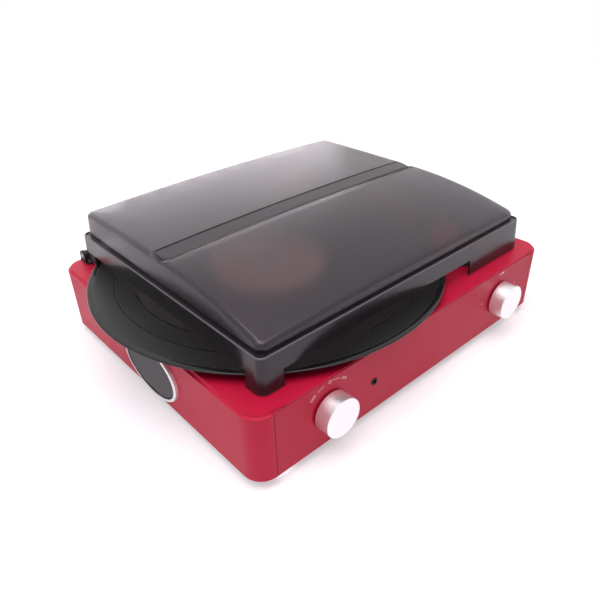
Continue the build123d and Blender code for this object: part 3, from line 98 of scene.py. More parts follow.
@dataclass
class Web:
    """A node tree, with short ways to add what repeats in it."""

    tree: bpy.types.NodeTree  # The tree of a material, of the world or of a rule.
    shader: Node | None = None  # The main shader of a material.
    surface: Socket | None = None  # What goes to its surface.

    def node(self, kind: str, inputs: dict | None = None, **settings: object) -> Node:
        """Adds one node with its settings and its inputs.

        Args:
            kind: Blender's name of the node type.
            inputs: Values or output sockets, by the input's name or number.
            **settings: The node's own properties.

        Returns:
            The new node.
        """
        made = self.tree.nodes.new(kind)
        for name, value in settings.items():
            setattr(made, name, value)
        for key, value in (inputs or {}).items():
            if isinstance(value, Socket):
                self.tree.links.new(value, made.inputs[key])
            else:
                made.inputs[key].default_value = value
        return made

    def math(self, operation: str, *values: Socket | float) -> Socket:
        """The result of one operation on sockets and numbers."""
        inputs = dict(enumerate(values))
        return self.node("ShaderNodeMath", inputs, operation=operation).outputs[0]

    def vector(self, **parts: Socket | float) -> Socket:
        """A vector of the given X, Y and Z, with nothing where none is given."""
        return self.node("ShaderNodeCombineXYZ", parts).outputs[0]

    def spread(
        self, value: Socket, low: float, high: float, start: float = 0.0, end: float = 1.0
    ) -> Socket:
        """Maps one range of a value onto another.

        Args:
            value: The value.
            low: The result at the start.
            high: The result at the end.
            start: Where the value's range starts.
            end: Where it ends.

        Returns:
            The socket of the result.
        """
        inputs = {"Value": value, "From Min": start, "From Max": end, "To Min": low, "To Max": high}
        return self.node("ShaderNodeMapRange", inputs).outputs["Result"]

    def noise(self, place: Socket, scale: float, detail: float, lines: bool = False) -> Socket:
        """Soft noise over a surface.

        Args:
            place: The place, a vector, or a distance where it is to run in lines.
            scale: Grains in a metre.
            detail: Finer layers that are added.
            lines: Whether it runs in lines.

        Returns:
            The socket of the noise.
        """
        inputs = {"W" if lines else "Vector": place, "Scale": scale, "Detail": detail}
        dimensions = "1D" if lines else "3D"
        return self.node("ShaderNodeTexNoise", inputs, noise_dimensions=dimensions).outputs["Fac"]

    def drive(self, name: str, value: Socket) -> None:
        """Lets a value drive an input of the main shader."""
        self.tree.links.new(value, self.shader.inputs[name])

    def relief(self, height: Socket, depth: float, strength: Socket | float = 1.0) -> None:
        """Lets a height show as fine relief.

        Args:
            height: The height, from 0 to 1.
            depth: The full height, in mm.
            strength: Share of it that shows.
        """
        inputs = {"Height": height, "Strength": strength, "Distance": depth * MM}
        self.drive("Normal", self.node("ShaderNodeBump", inputs).outputs["Normal"])

    def place(self) -> Socket:
        """The place on a surface, in metres."""
        return self.node("ShaderNodeTexCoord").outputs["Object"]

    def radius(self, centre: Place, axis: Axis) -> tuple[Socket, Socket]:
        """Distance from an axis, and the place along it, over a surface.

        Args:
            centre: A point on the axis, in metres.
            axis: The direction of the axis.

        Returns:
            The socket of the distance and the socket of the place along, in metres.
        """
        start = tuple(-part for part in centre)
        inputs = {"Vector": self.place(), "Location": start}
        centred = self.node("ShaderNodeMapping", inputs, vector_type="POINT").outputs[0]
        across = tuple(0.0 if number == axis.value else 1.0 for number in range(3))
        flat = self.node("ShaderNodeVectorMath", {0: centred, 1: across}, operation="MULTIPLY")
        length = self.node("ShaderNodeVectorMath", {0: flat.outputs[0]}, operation="LENGTH")
        parts = self.node("ShaderNodeSeparateXYZ", {0: centred})
        return length.outputs["Value"], parts.outputs[axis.value]


def blank_material(name: str) -> tuple[bpy.types.Material, Web]:
    """Makes a material with an empty tree."""
    made = bpy.data.materials.new(name)
    made.use_nodes = True
    made.node_tree.nodes.clear()
    return made, Web(made.node_tree)


# ------------------------------------------------------------------------ finishes


@dataclass(frozen=True)
class Finish:
    """A plain even surface, and the base of every other finish."""

    name: str  # The real material and how its surface was made.
    colour: str  # sRGB hex code.
    roughness: float = 0.5  # From 0, mirror, to 1, chalk.
    metallic: float = 0.0  # 1 for bare metal.
    ior: float = 1.5  # Index of refraction of a clear or plastic surface.
    sheen: float = 0.0  # Weight of the soft edge glow of a soft or dusty surface.
    specular: float = 0.5  # Strength of the shine, 0.5 for a plain clean surface.

    def material(self) -> bpy.types.Material:
        """Makes the material, or finds it where it was made before."""
        found = bpy.data.materials.get(self.name)
        if found:
            return found
        made, web = blank_material(self.name)
        made.diffuse_color = linear(self.colour)
        web.shader = web.node(
            "ShaderNodeBsdfPrincipled",
            {
                "Base Color": linear(self.colour),
                "Roughness": self.roughness,
                "Metallic": self.metallic,
                "IOR": self.ior,
                "Sheen Weight": self.sheen,
                "Specular IOR Level": self.specular,
            },
        )
        web.surface = web.shader.outputs[0]
        self.pattern(web)
        web.node("ShaderNodeOutputMaterial", {"Surface": web.surface})
        return made

    def pattern(self, web: Web) -> None:
        """Adds what varies over the surface, which is nothing here."""


@dataclass(frozen=True)
class Grained(Finish):
    """A surface with a fine even grain: moulded plastic, rubber, cast metal, felt or paper."""

    grain: float = 0.3  # Width of one grain, in mm.
    depth: float = 0.001  # Height of the grain, in mm.
    mottle: float = 0.05  # How far the roughness wanders over a few centimetres.
    wander: float = 28.0  # Turns of that wandering in a metre.
    second: str = ""  # A second colour that the grain mixes in.
    mixed: float = 0.3  # How much of the second colour is mixed in.

    def pattern(self, web: Web) -> None:
        """Adds the grain as a bump, and the slow wander of the roughness.

        Args:
            web: The material's nodes.
        """
        place = web.place()
        fine = web.noise(place, 1 / (self.grain * MM), 3.0)
        slow = web.noise(place, self.wander, 2.0)
        smooth, rough = self.roughness - self.mottle, self.roughness + self.mottle
        web.drive("Roughness", web.spread(slow, smooth, rough, *NOISE_RANGE))
        web.relief(fine, self.depth)
        if self.second:
            amount = web.math("MULTIPLY", fine, self.mixed)
            colours = {0: amount, 6: linear(self.colour), 7: linear(self.second)}
            mix = web.node("ShaderNodeMix", colours, data_type="RGBA")
            web.drive("Base Color", mix.outputs[2])


@dataclass(frozen=True)
class Turned(Finish):
    """Metal turned on a lathe, whose fine tool lines run round its axis."""

    metallic: float = 1.0
    centre: Place = (0.0, 0.0, 0.0)  # A point on the axis, in metres.
    axis: Axis = Axis.Z  # The direction of the axis.
    line: float = 0.25  # Spacing of the tool lines, in mm.
    depth: float = 0.004  # Height of the lines, in mm.
    # Share of the roughness in the smoothest and in the roughest line.
    change: tuple[float, float] = (0.75, 1.3)

    def pattern(self, web: Web) -> None:
        """Adds the tool lines as a bump and as a change of the roughness.

        Args:
            web: The material's nodes.
        """
        radius, along = web.radius(self.centre, self.axis)
        lines = web.noise(web.math("ADD", radius, along), 1 / (self.line * MM), 2.0, lines=True)
        smooth, rough = (self.roughness * share for share in self.change)
        web.drive("Roughness", web.spread(lines, smooth, rough, *NOISE_RANGE))
        web.relief(lines, self.depth)


@dataclass(frozen=True)
class PressedVinyl(Finish):
    """A pressed record: fine grooves, plain bands between the tracks, and a plain rim."""

    centre: Place = (0.0, 0.0, 0.0)  # The record's centre, in metres.
    groove_start: float = 145.5  # Radius of the first groove, in mm.
    groove_end: float = 61.0  # Radius of the last groove, in mm.
    # Spacing at which the grooves are drawn, in mm. The real spacing of a tenth of a millimetre is
    # too fine to show.
    groove: float = 0.7
    depth: float = 0.06  # Height at which they are drawn, in mm.
    # Radii of the plain bands between the tracks, in mm.
    gaps: tuple[float, ...] = (129.0, 113.5, 99.0, 83.0)
    gap_width: float = 1.3  # Width of such a band, in mm.
    gap_gloss: float = 0.3  # Share of the roughness that is left where there are no grooves.

    def pattern(self, web: Web) -> None:
        """Adds the grooves between the plain bands.

        Args:
            web: The material's nodes.
        """
        radius, _ = web.radius(self.centre, Axis.Z)
        inside = web.math("LESS_THAN", radius, self.groove_start * MM)
        outside = web.math("GREATER_THAN", radius, self.groove_end * MM)
        cut = web.math("MULTIPLY", inside, outside)
        for gap in self.gaps:
            plain = web.math("COMPARE", radius, gap * MM, self.gap_width * MM / 2)
            cut = web.math("SUBTRACT", cut, plain)
        wave = web.noise(radius, 1 / (self.groove * MM), 1.0, lines=True)
        web.relief(web.math("MULTIPLY", wave, cut), self.depth)
        rough = web.spread(cut, self.roughness * self.gap_gloss, self.roughness)
        web.drive("Roughness", rough)


@dataclass(frozen=True)
class SmokedLid(Finish):
    """Smoke-tinted acrylic: satin domes that blur what lies under them, on glossier sides.

    Light from the lamps goes straight through it, so the pieces under it are lit as they are
    under a real smoked lid.
    """

    polished: float = 0.2  # Roughness of the flange and the skirt under the domes.
    satin_from: float = 0.1  # Height above which the mould was textured, in metres.
    satin_edge: float = 0.3  # Half the height over which the texture fades in, in mm.
    haze: float = 0.1  # Share of the domes' surface that scatters light back, as a matt veil.
    side_haze: float = 0.55  # The same share for the flange and the skirt.
    grains: float = 1800.0  # Grains of the texture in a metre.
    depth: float = 0.0015  # Height of the texture, in mm.
    veil: str = "#262427"  # sRGB hex code of the veil.
    lamp_tint: str = "#CFCDD0"  # sRGB hex code that lamp light takes on through one wall face.
    painted_shine_tint: str = "#FFF2FD"  # sRGB hex code that tints its shine: painted light, the studio light's violet cast put into the reflection, which clear acrylic leaves untinted.

    def pattern(self, web: Web) -> None:
        """Makes it clear, adds the veil, and lets lamp light through.

        Args:
            web: The material's nodes.
        """
        web.shader.inputs["Transmission Weight"].default_value = 1.0
        web.shader.inputs["Specular Tint"].default_value = linear(self.painted_shine_tint)
        place = web.place()
        height = web.node("ShaderNodeSeparateXYZ", {0: place}).outputs["Z"]
        edge = self.satin_edge * MM
        satin = web.spread(height, 0.0, 1.0, self.satin_from - edge, self.satin_from + edge)
        rough = web.spread(satin, self.polished, self.roughness)
        web.drive("Roughness", rough)
        web.relief(web.noise(place, self.grains, 2.0), self.depth, satin)
        veil = web.node(
            "ShaderNodeBsdfPrincipled",
            {
                "Base Color": linear(self.veil),
                "Roughness": rough,
                "IOR": self.ior,
                "Specular Tint": linear(self.painted_shine_tint),
            },
        )
        share = web.spread(satin, self.side_haze, self.haze)
        body = web.node("ShaderNodeMixShader", {0: share, 1: web.surface, 2: veil.outputs[0]})
        through = web.node("ShaderNodeBsdfTransparent", {"Color": linear(self.lamp_tint)})
        lamp = web.node("ShaderNodeLightPath").outputs["Is Shadow Ray"]
        lit = web.node("ShaderNodeMixShader", {0: lamp, 1: body.outputs[0], 2: through.outputs[0]})
        web.surface = lit.outputs[0]


@dataclass(frozen=True)
class RingedPaper(Finish):
    """A printed paper disc with plain rings round its centre."""

    centre: Place = (0.0, 0.0, 0.0)  # The disc's centre, in metres.
    # Radius in mm and sRGB hex code of each colour, from the centre outwards.
    rings: tuple[tuple[float, str], ...] = ((0.0, "#C47E5E"),)
    spare: float = 1.2  # Radius that the rings are drawn to, over the last one's.

    def pattern(self, web: Web) -> None:
        """Adds the rings as one stepped ramp.

        Args:
            web: The material's nodes.
        """
        radius, _ = web.radius(self.centre, Axis.Z)
        reach = self.rings[-1][0] * self.spare * MM
        ramp = web.node("ShaderNodeValToRGB", {"Fac": web.math("DIVIDE", radius, reach)})
        ramp.color_ramp.interpolation = "CONSTANT"
        for number, (start, code) in enumerate(self.rings):
            if number > 1:
                ramp.color_ramp.elements.new(start * MM / reach)
            ramp.color_ramp.elements[number].position = start * MM / reach
            ramp.color_ramp.elements[number].color = linear(code)
        web.drive("Base Color", ramp.outputs["Color"])


# Soft-touch paint over moulded ABS: an even deep red with a weak, broad shine.
RED_SHELL = Grained(
    "soft_touch_red_abs", "#C8103A", 0.46, specular=0.3, grain=0.35, depth=0.002, mottle=0.03
)
# The same paint on the flat front panel, whose finer grain looks a little more even. Its colour is
# a shade darker than the case's: painted shade for the front face, which takes less light than the
# top.
RED_PANEL = Grained(
    "soft_touch_red_panel", "#C20F38", 0.46, specular=0.3, depth=0.0015, mottle=0.03
)
BLACK_SHELL = Grained("moulded_black_abs", "#17171A", 0.45, grain=0.35, depth=0.006, mottle=0.06)
# Ribs moulded in black ABS, coloured mid grey: painted light for their rounded fronts, which catch
# more light than the gaps between them.
GRILLE_RIB = Grained("grille_abs_painted_lit", "#626064", 0.5, depth=0.002)
GRILLE_GAP = Grained("grille_backing_cloth", "#0A0A0B", 0.9, grain=0.5, depth=0.02)
LID = SmokedLid("smoked_acrylic", "#979096", 0.25, ior=1.49, satin_from=0.0975)
# Painted shade: dark lines with no shine, laid on the domes where the steps beside the trough are
# seen edge-on and lie in shadow.
TROUGH_SHADE = Grained("painted_trough_shade", "#151316", 0.95, specular=0.0, grain=0.4)
# The rounded rim of the flange is polished, and shows as a thin bright line.
LID_RIM = Grained("smoked_acrylic_rim", "#5E5A5F", 0.2, ior=1.49, grain=0.4, depth=0.0005)
WHITE_RING = Grained("white_insulator", "#E9E7E1", 0.4)
RED_RING = Grained("red_insulator", "#B3202A", 0.4)
BRIGHT_RING = Grained("silver_painted_ring", "#F2F2F4", 0.28, metallic=0.6, depth=0.002)
FOOT_CUP = Grained("chromed_foot_cup", "#E8E9EB", 0.14, metallic=1.0, grain=0.6)
RUBBER = Grained("black_rubber", "#121213", 0.78, grain=0.4, depth=0.01)
FELT = Grained(
    "black_felt", "#1A1A1C", 0.95, sheen=0.5, grain=0.6, depth=0.12, second="#2A2A2E", mixed=0.8
)
STEEL = Grained("ground_steel", "#B9BBBE", 0.28, metallic=1.0)
SCREW_STEEL = Grained("zinc_plated_steel", "#A9ABAE", 0.34, metallic=1.0, depth=0.002)
BRASS = Grained("turned_brass", "#C9A552", 0.3, metallic=1.0)
SOCKET_BLACK = Grained("socket_nylon_black", "#0B0B0C", 0.55, specular=0.3, depth=0.002)
DRIVER_PAPER = Grained(
    "pressed_cone_paper", "#1B1A1A", 0.9, grain=0.7, depth=0.05, second="#2B2927", mixed=0.8
)
BOARD = Grained("printed_board_resin", "#1E5A36", 0.4, grain=1.2, depth=0.01)
CARTRIDGE_BODY = Grained("cartridge_abs_dark", "#1C1D22", 0.35, depth=0.002)
STYLUS_HOLDER = Grained("stylus_holder_red", "#B02A2A", 0.4, depth=0.002)
INK = Grained("white_pad_ink", "#F2EFEF", 0.6, grain=0.2)
# Painted shade: a dark red strip that stands for the shadow in the gap round the front panel.
SEAM_SHADE = Grained("painted_seam_shade", "#4A0814", 0.8, specular=0.1)


# ------------------------------------------------------------------------- helpers


def linked(name: str, data: bpy.types.ID) -> Object:
    """Puts a new object round its data into the scene."""
    made = bpy.data.objects.new(name, data)
    bpy.context.scene.collection.objects.link(made)
    return made


def baked(holder: Object) -> Mesh:
    """Turns an object into a plain mesh, with its modifiers applied.

    Args:
        holder: The object, which goes.

    Returns:
        The mesh.
    """
    graph = bpy.context.evaluated_depsgraph_get()
    mesh = bpy.data.meshes.new_from_object(holder.evaluated_get(graph))
    bpy.data.objects.remove(holder)
    return mesh


def centre_of(node: str) -> Vector:
    """The middle of a CAD node's box, in metres."""
    low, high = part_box(node)
    return (low + high) / 2


def crease(body: Object, angle: float = 28.0, weld_gap: float = 0.002) -> None:
    """Shades curved faces smooth and leaves sharp edges as they are.

    Args:
        body: The object.
        angle: Edges that turn by more than this many degrees stay sharp.
        weld_gap: Points closer than this, in mm, are one point.
    """
    body.data.polygons.foreach_set("use_smooth", [True] * len(body.data.polygons))
    weld = body.modifiers.new("weld", "WELD")
    weld.merge_threshold = weld_gap * MM
    split = body.modifiers.new("crease", "EDGE_SPLIT")
    split.split_angle = math.radians(angle)


def dress(finish: Finish, *nodes: str, angle: float = 28.0) -> None:
    """Gives CAD nodes their finish, and shades their curved faces smooth.

    Args:
        finish: The finish of each whole node.
        *nodes: Their names.
        angle: Edges that turn by more than this many degrees stay sharp.
    """
    for node in nodes:
        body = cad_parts[node]
        body.data.materials.clear()
        body.data.materials.append(finish.material())
        crease(body, angle)
        log.info("dressed %s as %s", node, finish.name)


def new_piece(
    name: str,
    mesh: Mesh,
    finish: Finish,
    body: str,
    slot: str,
    smooth: bool = False,
    creased: bool = False,
    replaces: str = "",
) -> None:
    """Adds a finished mesh to the part and lets it ride on a body.

    Args:
        name: The piece's name.
        mesh: Its mesh, with its place in its vertices.
        finish: Its finish.
        body: The CAD body that carries it.
        slot: A material slot of the record; not used.
        smooth: Whether its faces are shaded smooth.
        creased: Whether only its sharp edges stay sharp.
        replaces: The CAD node that it stands for.
    """
    mesh.name = name
    mesh.materials.clear()
    mesh.materials.append(finish.material())
    mesh.polygons.foreach_set("use_smooth", [smooth] * len(mesh.polygons))
    piece = linked(name, mesh)
    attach(piece, body)
    if creased:
        crease(piece)
    if replaces:
        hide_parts(replaces)
    log.info("made %s: %d faces on %s", name, len(mesh.polygons), body)


def mesh_of(points: list[Vector], faces: Faces, place: Matrix | None = None) -> Mesh:
    """Makes a mesh from points and faces, moved to its place.

    Args:
        points: Corner points, in metres.
        faces: Corner numbers of each face.
        place: The matrix that moves it to its place.

    Returns:
        The mesh.
    """
    mesh = bpy.data.meshes.new("piece")
    mesh.from_pydata([tuple(point) for point in points], [], faces)
    if place:
        mesh.transform(place)
    mesh.update()
    return mesh


def grid_faces(
    rows: int, row: int, start: int = 0, ring: bool = False, loop: bool = False, flip: bool = False
) -> Faces:
    """Lays four-sided faces between rows of points.

    Args:
        rows: Number of rows.
        row: Points in a row.
        start: Number of the first point.
        ring: Whether each row closes on itself.
        loop: Whether the last row joins the first.
        flip: Whether the faces look the other way.

    Returns:
        Corner numbers of each face.
    """
    faces = []
    for near in range(rows if loop else rows - 1):
        far = (near + 1) % rows
        for side in range(row if ring else row - 1):
            beside = (side + 1) % row
            corners = [near * row + side, near * row + beside, far * row + beside, far * row + side]
            if flip:
                corners[1], corners[3] = corners[3], corners[1]
            faces.append(tuple(start + corner for corner in corners))
    return faces


def turned_mesh(
    profile: list[tuple[float, float]], places: list[Vector], axis: Axis = Axis.Z, steps: int = 48
) -> Mesh:
    """Turns a closed outline round one or more parallel axes.

    Args:
        profile: Radius and place along the axis of each corner, in mm. It starts on the axis at
            the low end, goes outwards first, and ends on the axis at the high end. The outline
            of a ring ends on its first corner.
        places: A point on each axis, in metres, from which the places along it are counted.
        axis: The direction of the axes.
        steps: Faces round the axis.

    Returns:
        One mesh with all the turned pieces.
    """
    drawing = bmesh.new()
    # Which coordinates take the way sideways, the way up and the place along the axis.
    order = {Axis.Y: (1, 2, 0), Axis.Z: (0, 1, 2)}[axis]
    for place in places:
        rings = []
        for radius, along in profile:
            ring = []
            for step in range(steps if radius else 1):
                turn = math.tau * step / steps
                parts = (radius * math.cos(turn), radius * math.sin(turn), along)
                ring.append(drawing.verts.new(place + Vector([parts[part] for part in order]) * MM))
            rings.append(ring)
        for low, high in zip(rings, rings[1:]):
            for step in range(steps):
                beside = (step + 1) % steps
                corners = [low[step % len(low)], low[beside % len(low)]]
                corners += [high[beside % len(high)], high[step % len(high)]]
                unique = list(dict.fromkeys(corners))
                if len(unique) > 2:
                    drawing.faces.new(unique)
    bmesh.ops.remove_doubles(drawing, verts=drawing.verts, dist=0.001 * MM)
    mesh = bpy.data.meshes.new("turned")
    drawing.to_mesh(mesh)
    drawing.free()
    return mesh


def tube_mesh(path: list[Vector], radius: float, closed: bool = False, sides: int = 8) -> Mesh:
    """Makes a round bead or wire along a path.

    Args:
        path: Its middle line, in metres.
        radius: Its radius, in mm.
        closed: Whether the end meets the start.
        sides: Faces round it.

    Returns:
        The mesh.
    """
    count = len(path)
    points = []
    for number, place in enumerate(path):
        before = path[number - 1] if closed or number else place
        after = path[(number + 1) % count] if closed or number < count - 1 else place
        ahead = (after - before).normalized()
        level = ahead.cross(UP).normalized()
        above = level.cross(ahead)
        for side in range(sides):
            turn = math.tau * side / sides
            points.append(place + (level * math.cos(turn) + above * math.sin(turn)) * radius * MM)
    faces = grid_faces(count, sides, ring=True, loop=closed)
    if not closed:
        faces.append(tuple(range(sides))[::-1])
        faces.append(tuple((count - 1) * sides + side for side in range(sides)))
    return mesh_of(points, faces)


@dataclass
class Print:
    """Flat white printing on one face, drawn in that face's own millimetres."""

    origin: Vector  # The zero of the drawing, on the face, in metres.
    up: Vector = UP  # Direction of the drawing's y. Its x runs to the right.
    proud: float = 0.03  # Thickness of the ink, in mm.
    capital: float = 0.7  # Height of a capital, as a share of the letters' size.

    def __post_init__(self) -> None:
        """Starts with an empty drawing."""
        self.points: list[Vector] = []
        self.faces: Faces = []

    def place(self) -> Matrix:
        """The matrix from the drawing's millimetres to the frame."""
        out = RIGHT.cross(self.up)
        turn = Matrix((RIGHT, self.up, out)).transposed().to_4x4()
        return Matrix.Translation(self.origin + out * self.proud * MM) @ turn @ Matrix.Scale(MM, 4)

    def polygon(self, outline: Corners | list[tuple[float, float]]) -> None:
        """Adds one filled outline, given anticlockwise."""
        start = len(self.points)
        self.points += [Vector((x, y, 0)) for x, y in outline]
        self.faces.append(tuple(range(start, start + len(outline))))

    def box(self, left: float, low: float, right: float, high: float) -> None:
        """Adds a filled rectangle."""
        self.polygon([(left, low), (right, low), (right, high), (left, high)])

    def disc(self, x: float, y: float, radius: float, steps: int = 16) -> None:
        """Adds a dot."""
        turns = [math.tau * step / steps for step in range(steps)]
        self.polygon([(x + radius * math.cos(turn), y + radius * math.sin(turn)) for turn in turns])

    def arc(self, y: float, radius: float, start: float, end: float, width: float) -> None:
        """Adds a curved stroke round a point straight over the zero.

        Args:
            y: Height of its centre.
            radius: Radius of the stroke's middle.
            start: First angle in degrees, anticlockwise from the right.
            end: Last angle in degrees, beyond the first.
            width: Width of the stroke.
        """
        steps = max(4, int((end - start) / 3))
        for step in range(steps):
            corners = []
            for share, sign in ((step, -1), (step, 1), (step + 1, 1), (step + 1, -1)):
                turn = math.radians(start + (end - start) * share / steps)
                reach = radius + sign * width / 2
                corners.append((reach * math.cos(turn), y + reach * math.sin(turn)))
            self.polygon(corners)

    def text(self, words: str, x: float, y: float, height: float, turn: float = 0.0) -> None:
        """Adds upright sans lettering, centred on a point.

        Args:
            words: What it says.
            x: Middle of the words.
            y: Middle of the words.
            height: Height of the capitals.
            turn: Degrees by which the line is turned, anticlockwise.
        """
        curve = bpy.data.curves.new("lettering", "FONT")
        curve.body = words
        curve.align_x = "CENTER"
        curve.align_y = "CENTER"
        curve.size = height / self.capital
        curve.resolution_u = 3
        mesh = baked(linked("lettering", curve))
        mesh.transform(Matrix.Translation((x, y, 0)) @ Matrix.Rotation(math.radians(turn), 4, "Z"))
        start = len(self.points)
        self.points += [vertex.co.copy() for vertex in mesh.vertices]
        for face in mesh.polygons:
            corners = tuple(start + number for number in face.vertices)
            self.faces.append(corners if face.normal.z > 0 else corners[::-1])
        bpy.data.curves.remove(curve)
        bpy.data.meshes.remove(mesh)

    def finish(self, name: str, ink: Finish = INK) -> None:
        """Turns the drawing into one printed piece on the case."""
        mesh = mesh_of(self.points, self.faces, self.place())
        new_piece(name, mesh, ink, "root", "red_shell")


@dataclass
class Rule:
    """A shape that follows a rule, made by Geometry Nodes and kept as a plain mesh."""

    name: str  # The name of the tree.
    sizes: dict[str, float]  # Its named sizes, with their values.

    def __post_init__(self) -> None:
        """Makes the empty tree with its named inputs."""
        self.web = Web(bpy.data.node_groups.new(self.name, "GeometryNodeTree"))
        sockets = self.web.tree.interface
        sockets.new_socket(name="Geometry", in_out="OUTPUT", socket_type="NodeSocketGeometry")
        self.identifiers = {}
        for size, value in self.sizes.items():
            kind = "NodeSocketInt" if isinstance(value, int) else "NodeSocketFloat"
            socket = sockets.new_socket(name=size, in_out="INPUT", socket_type=kind)
            self.identifiers[size] = socket.identifier
        self.inputs = self.web.node("NodeGroupInput").outputs

    def repeat(self, points: Socket, bar: Socket, **turned: Socket) -> Socket:
        """Sets a copy of a bar of a given size on each point.

        Args:
            points: The points.
            bar: Length, width and height of the bar.
            **turned: How each copy is turned or scaled.

        Returns:
            The socket of the copies.
        """
        cube = self.web.node("GeometryNodeMeshCube", {"Size": bar})
        inputs = {"Points": points, "Instance": cube.outputs[0], **turned}
        return self.web.node("GeometryNodeInstanceOnPoints", inputs).outputs[0]

    def bake(self, geometry: Socket, finish: Finish) -> Mesh:
        """Realises the shape, sets its material and returns it as a plain mesh.

        Args:
            geometry: The socket that carries the instances.
            finish: The finish of the shape.

        Returns:
            The mesh, where the tree puts it.
        """
        real = self.web.node("GeometryNodeRealizeInstances", {0: geometry})
        paint = {"Geometry": real.outputs[0], "Material": finish.material()}
        painted = self.web.node("GeometryNodeSetMaterial", paint)
        self.web.node("NodeGroupOutput", {0: painted.outputs[0]})
        holder = linked(self.name, bpy.data.meshes.new(self.name))
        modifier = holder.modifiers.new(self.name, "NODES")
        modifier.node_group = self.web.tree
        for size, value in self.sizes.items():
            modifier[self.identifiers[size]] = value
        return baked(holder)


# -------------------------------------------------------------------- sub-assemblies


@dataclass
class Case:
    """The red case with its front panel, floor, socket plate and feet.

    Sizes are in mm where nothing else is said.
    """

    seam: float = 0.42  # Width of the strip of painted shade along the gap round the front panel.
    seam_foot: float = 0.3  # Height over the panel's lower edge at which it starts.
    pad_radius: float = 9.0  # Radius of a rubber pad.
    cup_lip: float = 1.2  # Height of the cup's lower edge round its pad.
    # Radius and height of the cup's outside, from the ground up.
    cup_wall: Corners = (
        (13.3, 0.5), (14.0, 0.6), (14.3, 1.1), (14.2, 1.8), (12.5, 4.6), (11.6, 6.6)
    )
    cup_neck: float = 11.3  # Radius of a foot cup under the floor of the case.
    phono_radius: float = 4.0  # Radius of a phono socket's barrel.
    phono_flange: float = 5.6  # Radius of its flange.
    phono_flange_top: float = 1.2  # Height of the flange over the socket plate.
    phono_wall: float = 0.6  # Thickness of the barrel's wall.
    phono_edge: float = 0.25  # Width of the slope on its outer edge.
    phono_depth: float = 6.5  # Depth of its mouth.
    ring_bore: float = 1.7  # Radius of the hole in its coloured ring.
    ring_drop: float = 0.4  # How far that ring lies within the mouth.

    def build(self) -> None:
        """Dresses the case's nodes, and makes the feet, the painted shade along the panel's seam
        and the phono sockets.
        """
        self.feet()
        self.seam_shade_strip()
        dress(RED_SHELL, "case_shell")
        dress(RED_PANEL, "front_panel")
        dress(BLACK_SHELL, "bottom_cover", "socket_plate")
        dress(SCREW_STEEL, "cover_screws")
        dress(RUBBER, "foot_pads")
        self.phono_sockets()
        dress(SOCKET_BLACK, "inlet_socket")
        dress(BOARD, "circuit_board")

    def feet(self) -> None:
        """Makes the four bright cups, spread towards the ground, each round its rubber pad."""
        low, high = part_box("foot_pads")
        inset = self.pad_radius * MM
        places = [
            Vector((x, y, low.z))
            for x in (low.x + inset, high.x - inset)
            for y in (low.y + inset, high.y - inset)
        ]
        pad = (high.z - low.z) / MM + FIT
        bore = self.pad_radius + 2 * FIT
        top = (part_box("bottom_cover")[0].z - low.z) / MM - FIT
        profile = [(0, pad), (bore, pad), (bore, self.cup_lip), *self.cup_wall]
        profile += [(self.cup_neck, top), (0, top)]
        cups = turned_mesh(profile, places)
        looks = {"creased": True, "replaces": "foot_cups"}
        new_piece("flared_foot_cups", cups, FOOT_CUP, "root", "foot_cup", **looks)

    def phono_sockets(self) -> None:
        """Makes the two phono sockets, each with its coloured ring."""
        low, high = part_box("phono_sockets")
        plate = (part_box("socket_plate")[1].y - low.y) / MM
        reach = (high.y - low.y) / MM
        inset = self.phono_flange * MM
        middle = (low.z + high.z) / 2
        places = [Vector((x, low.y, middle)) for x in (low.x + inset, high.x - inset)]
        radius, flange, edge = self.phono_radius, self.phono_flange, self.phono_edge
        mouth, depth = radius - self.phono_wall, reach - self.phono_depth
        seat, rest = plate + FIT, plate + self.phono_flange_top
        profile = [(0, 0), (radius, 0), (radius, seat), (flange, seat), (flange, rest)]
        profile += [(radius, rest), (radius, reach - edge), (radius - edge, reach)]
        profile += [(mouth, reach), (mouth, depth), (0, depth)]
        barrels = turned_mesh(profile, places, Axis.Y, steps=36)
        looks = {"creased": True, "replaces": "phono_sockets"}
        new_piece("phono_barrels", barrels, SCREW_STEEL, "root", "screw_steel", **looks)
        outer, inner = mouth - FIT, self.ring_bore
        foot, head = depth + FIT, reach - self.ring_drop
        hoop = [(inner, foot), (outer, foot), (outer, head), (inner, head), (inner, foot)]
        for word, finish, place in (("white", WHITE_RING, places[0]), ("red", RED_RING, places[1])):
            ring = turned_mesh(hoop, [place], Axis.Y, steps=36)
            new_piece(f"{word}_phono_ring", ring, finish, "root", "socket_black", creased=True)

    def seam_shade_strip(self) -> None:
        """Paints shade along the gap between the front panel and the case as a thin dark strip,
        since the gap is too narrow to show its own shadow.
        """
        low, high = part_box("front_panel")
        drawing = Print(Vector((0, low.y, 0)), proud=0.02)
        left, right = low.x / MM - self.seam, high.x / MM + self.seam
        base, top = low.z / MM + self.seam_foot, high.z / MM + self.seam
        drawing.box(left, base, left + self.seam, top)
        drawing.box(right - self.seam, base, right, top)
        drawing.box(left + self.seam, top - self.seam, right - self.seam, top)
        drawing.finish("seam_shade_strip", SEAM_SHADE)


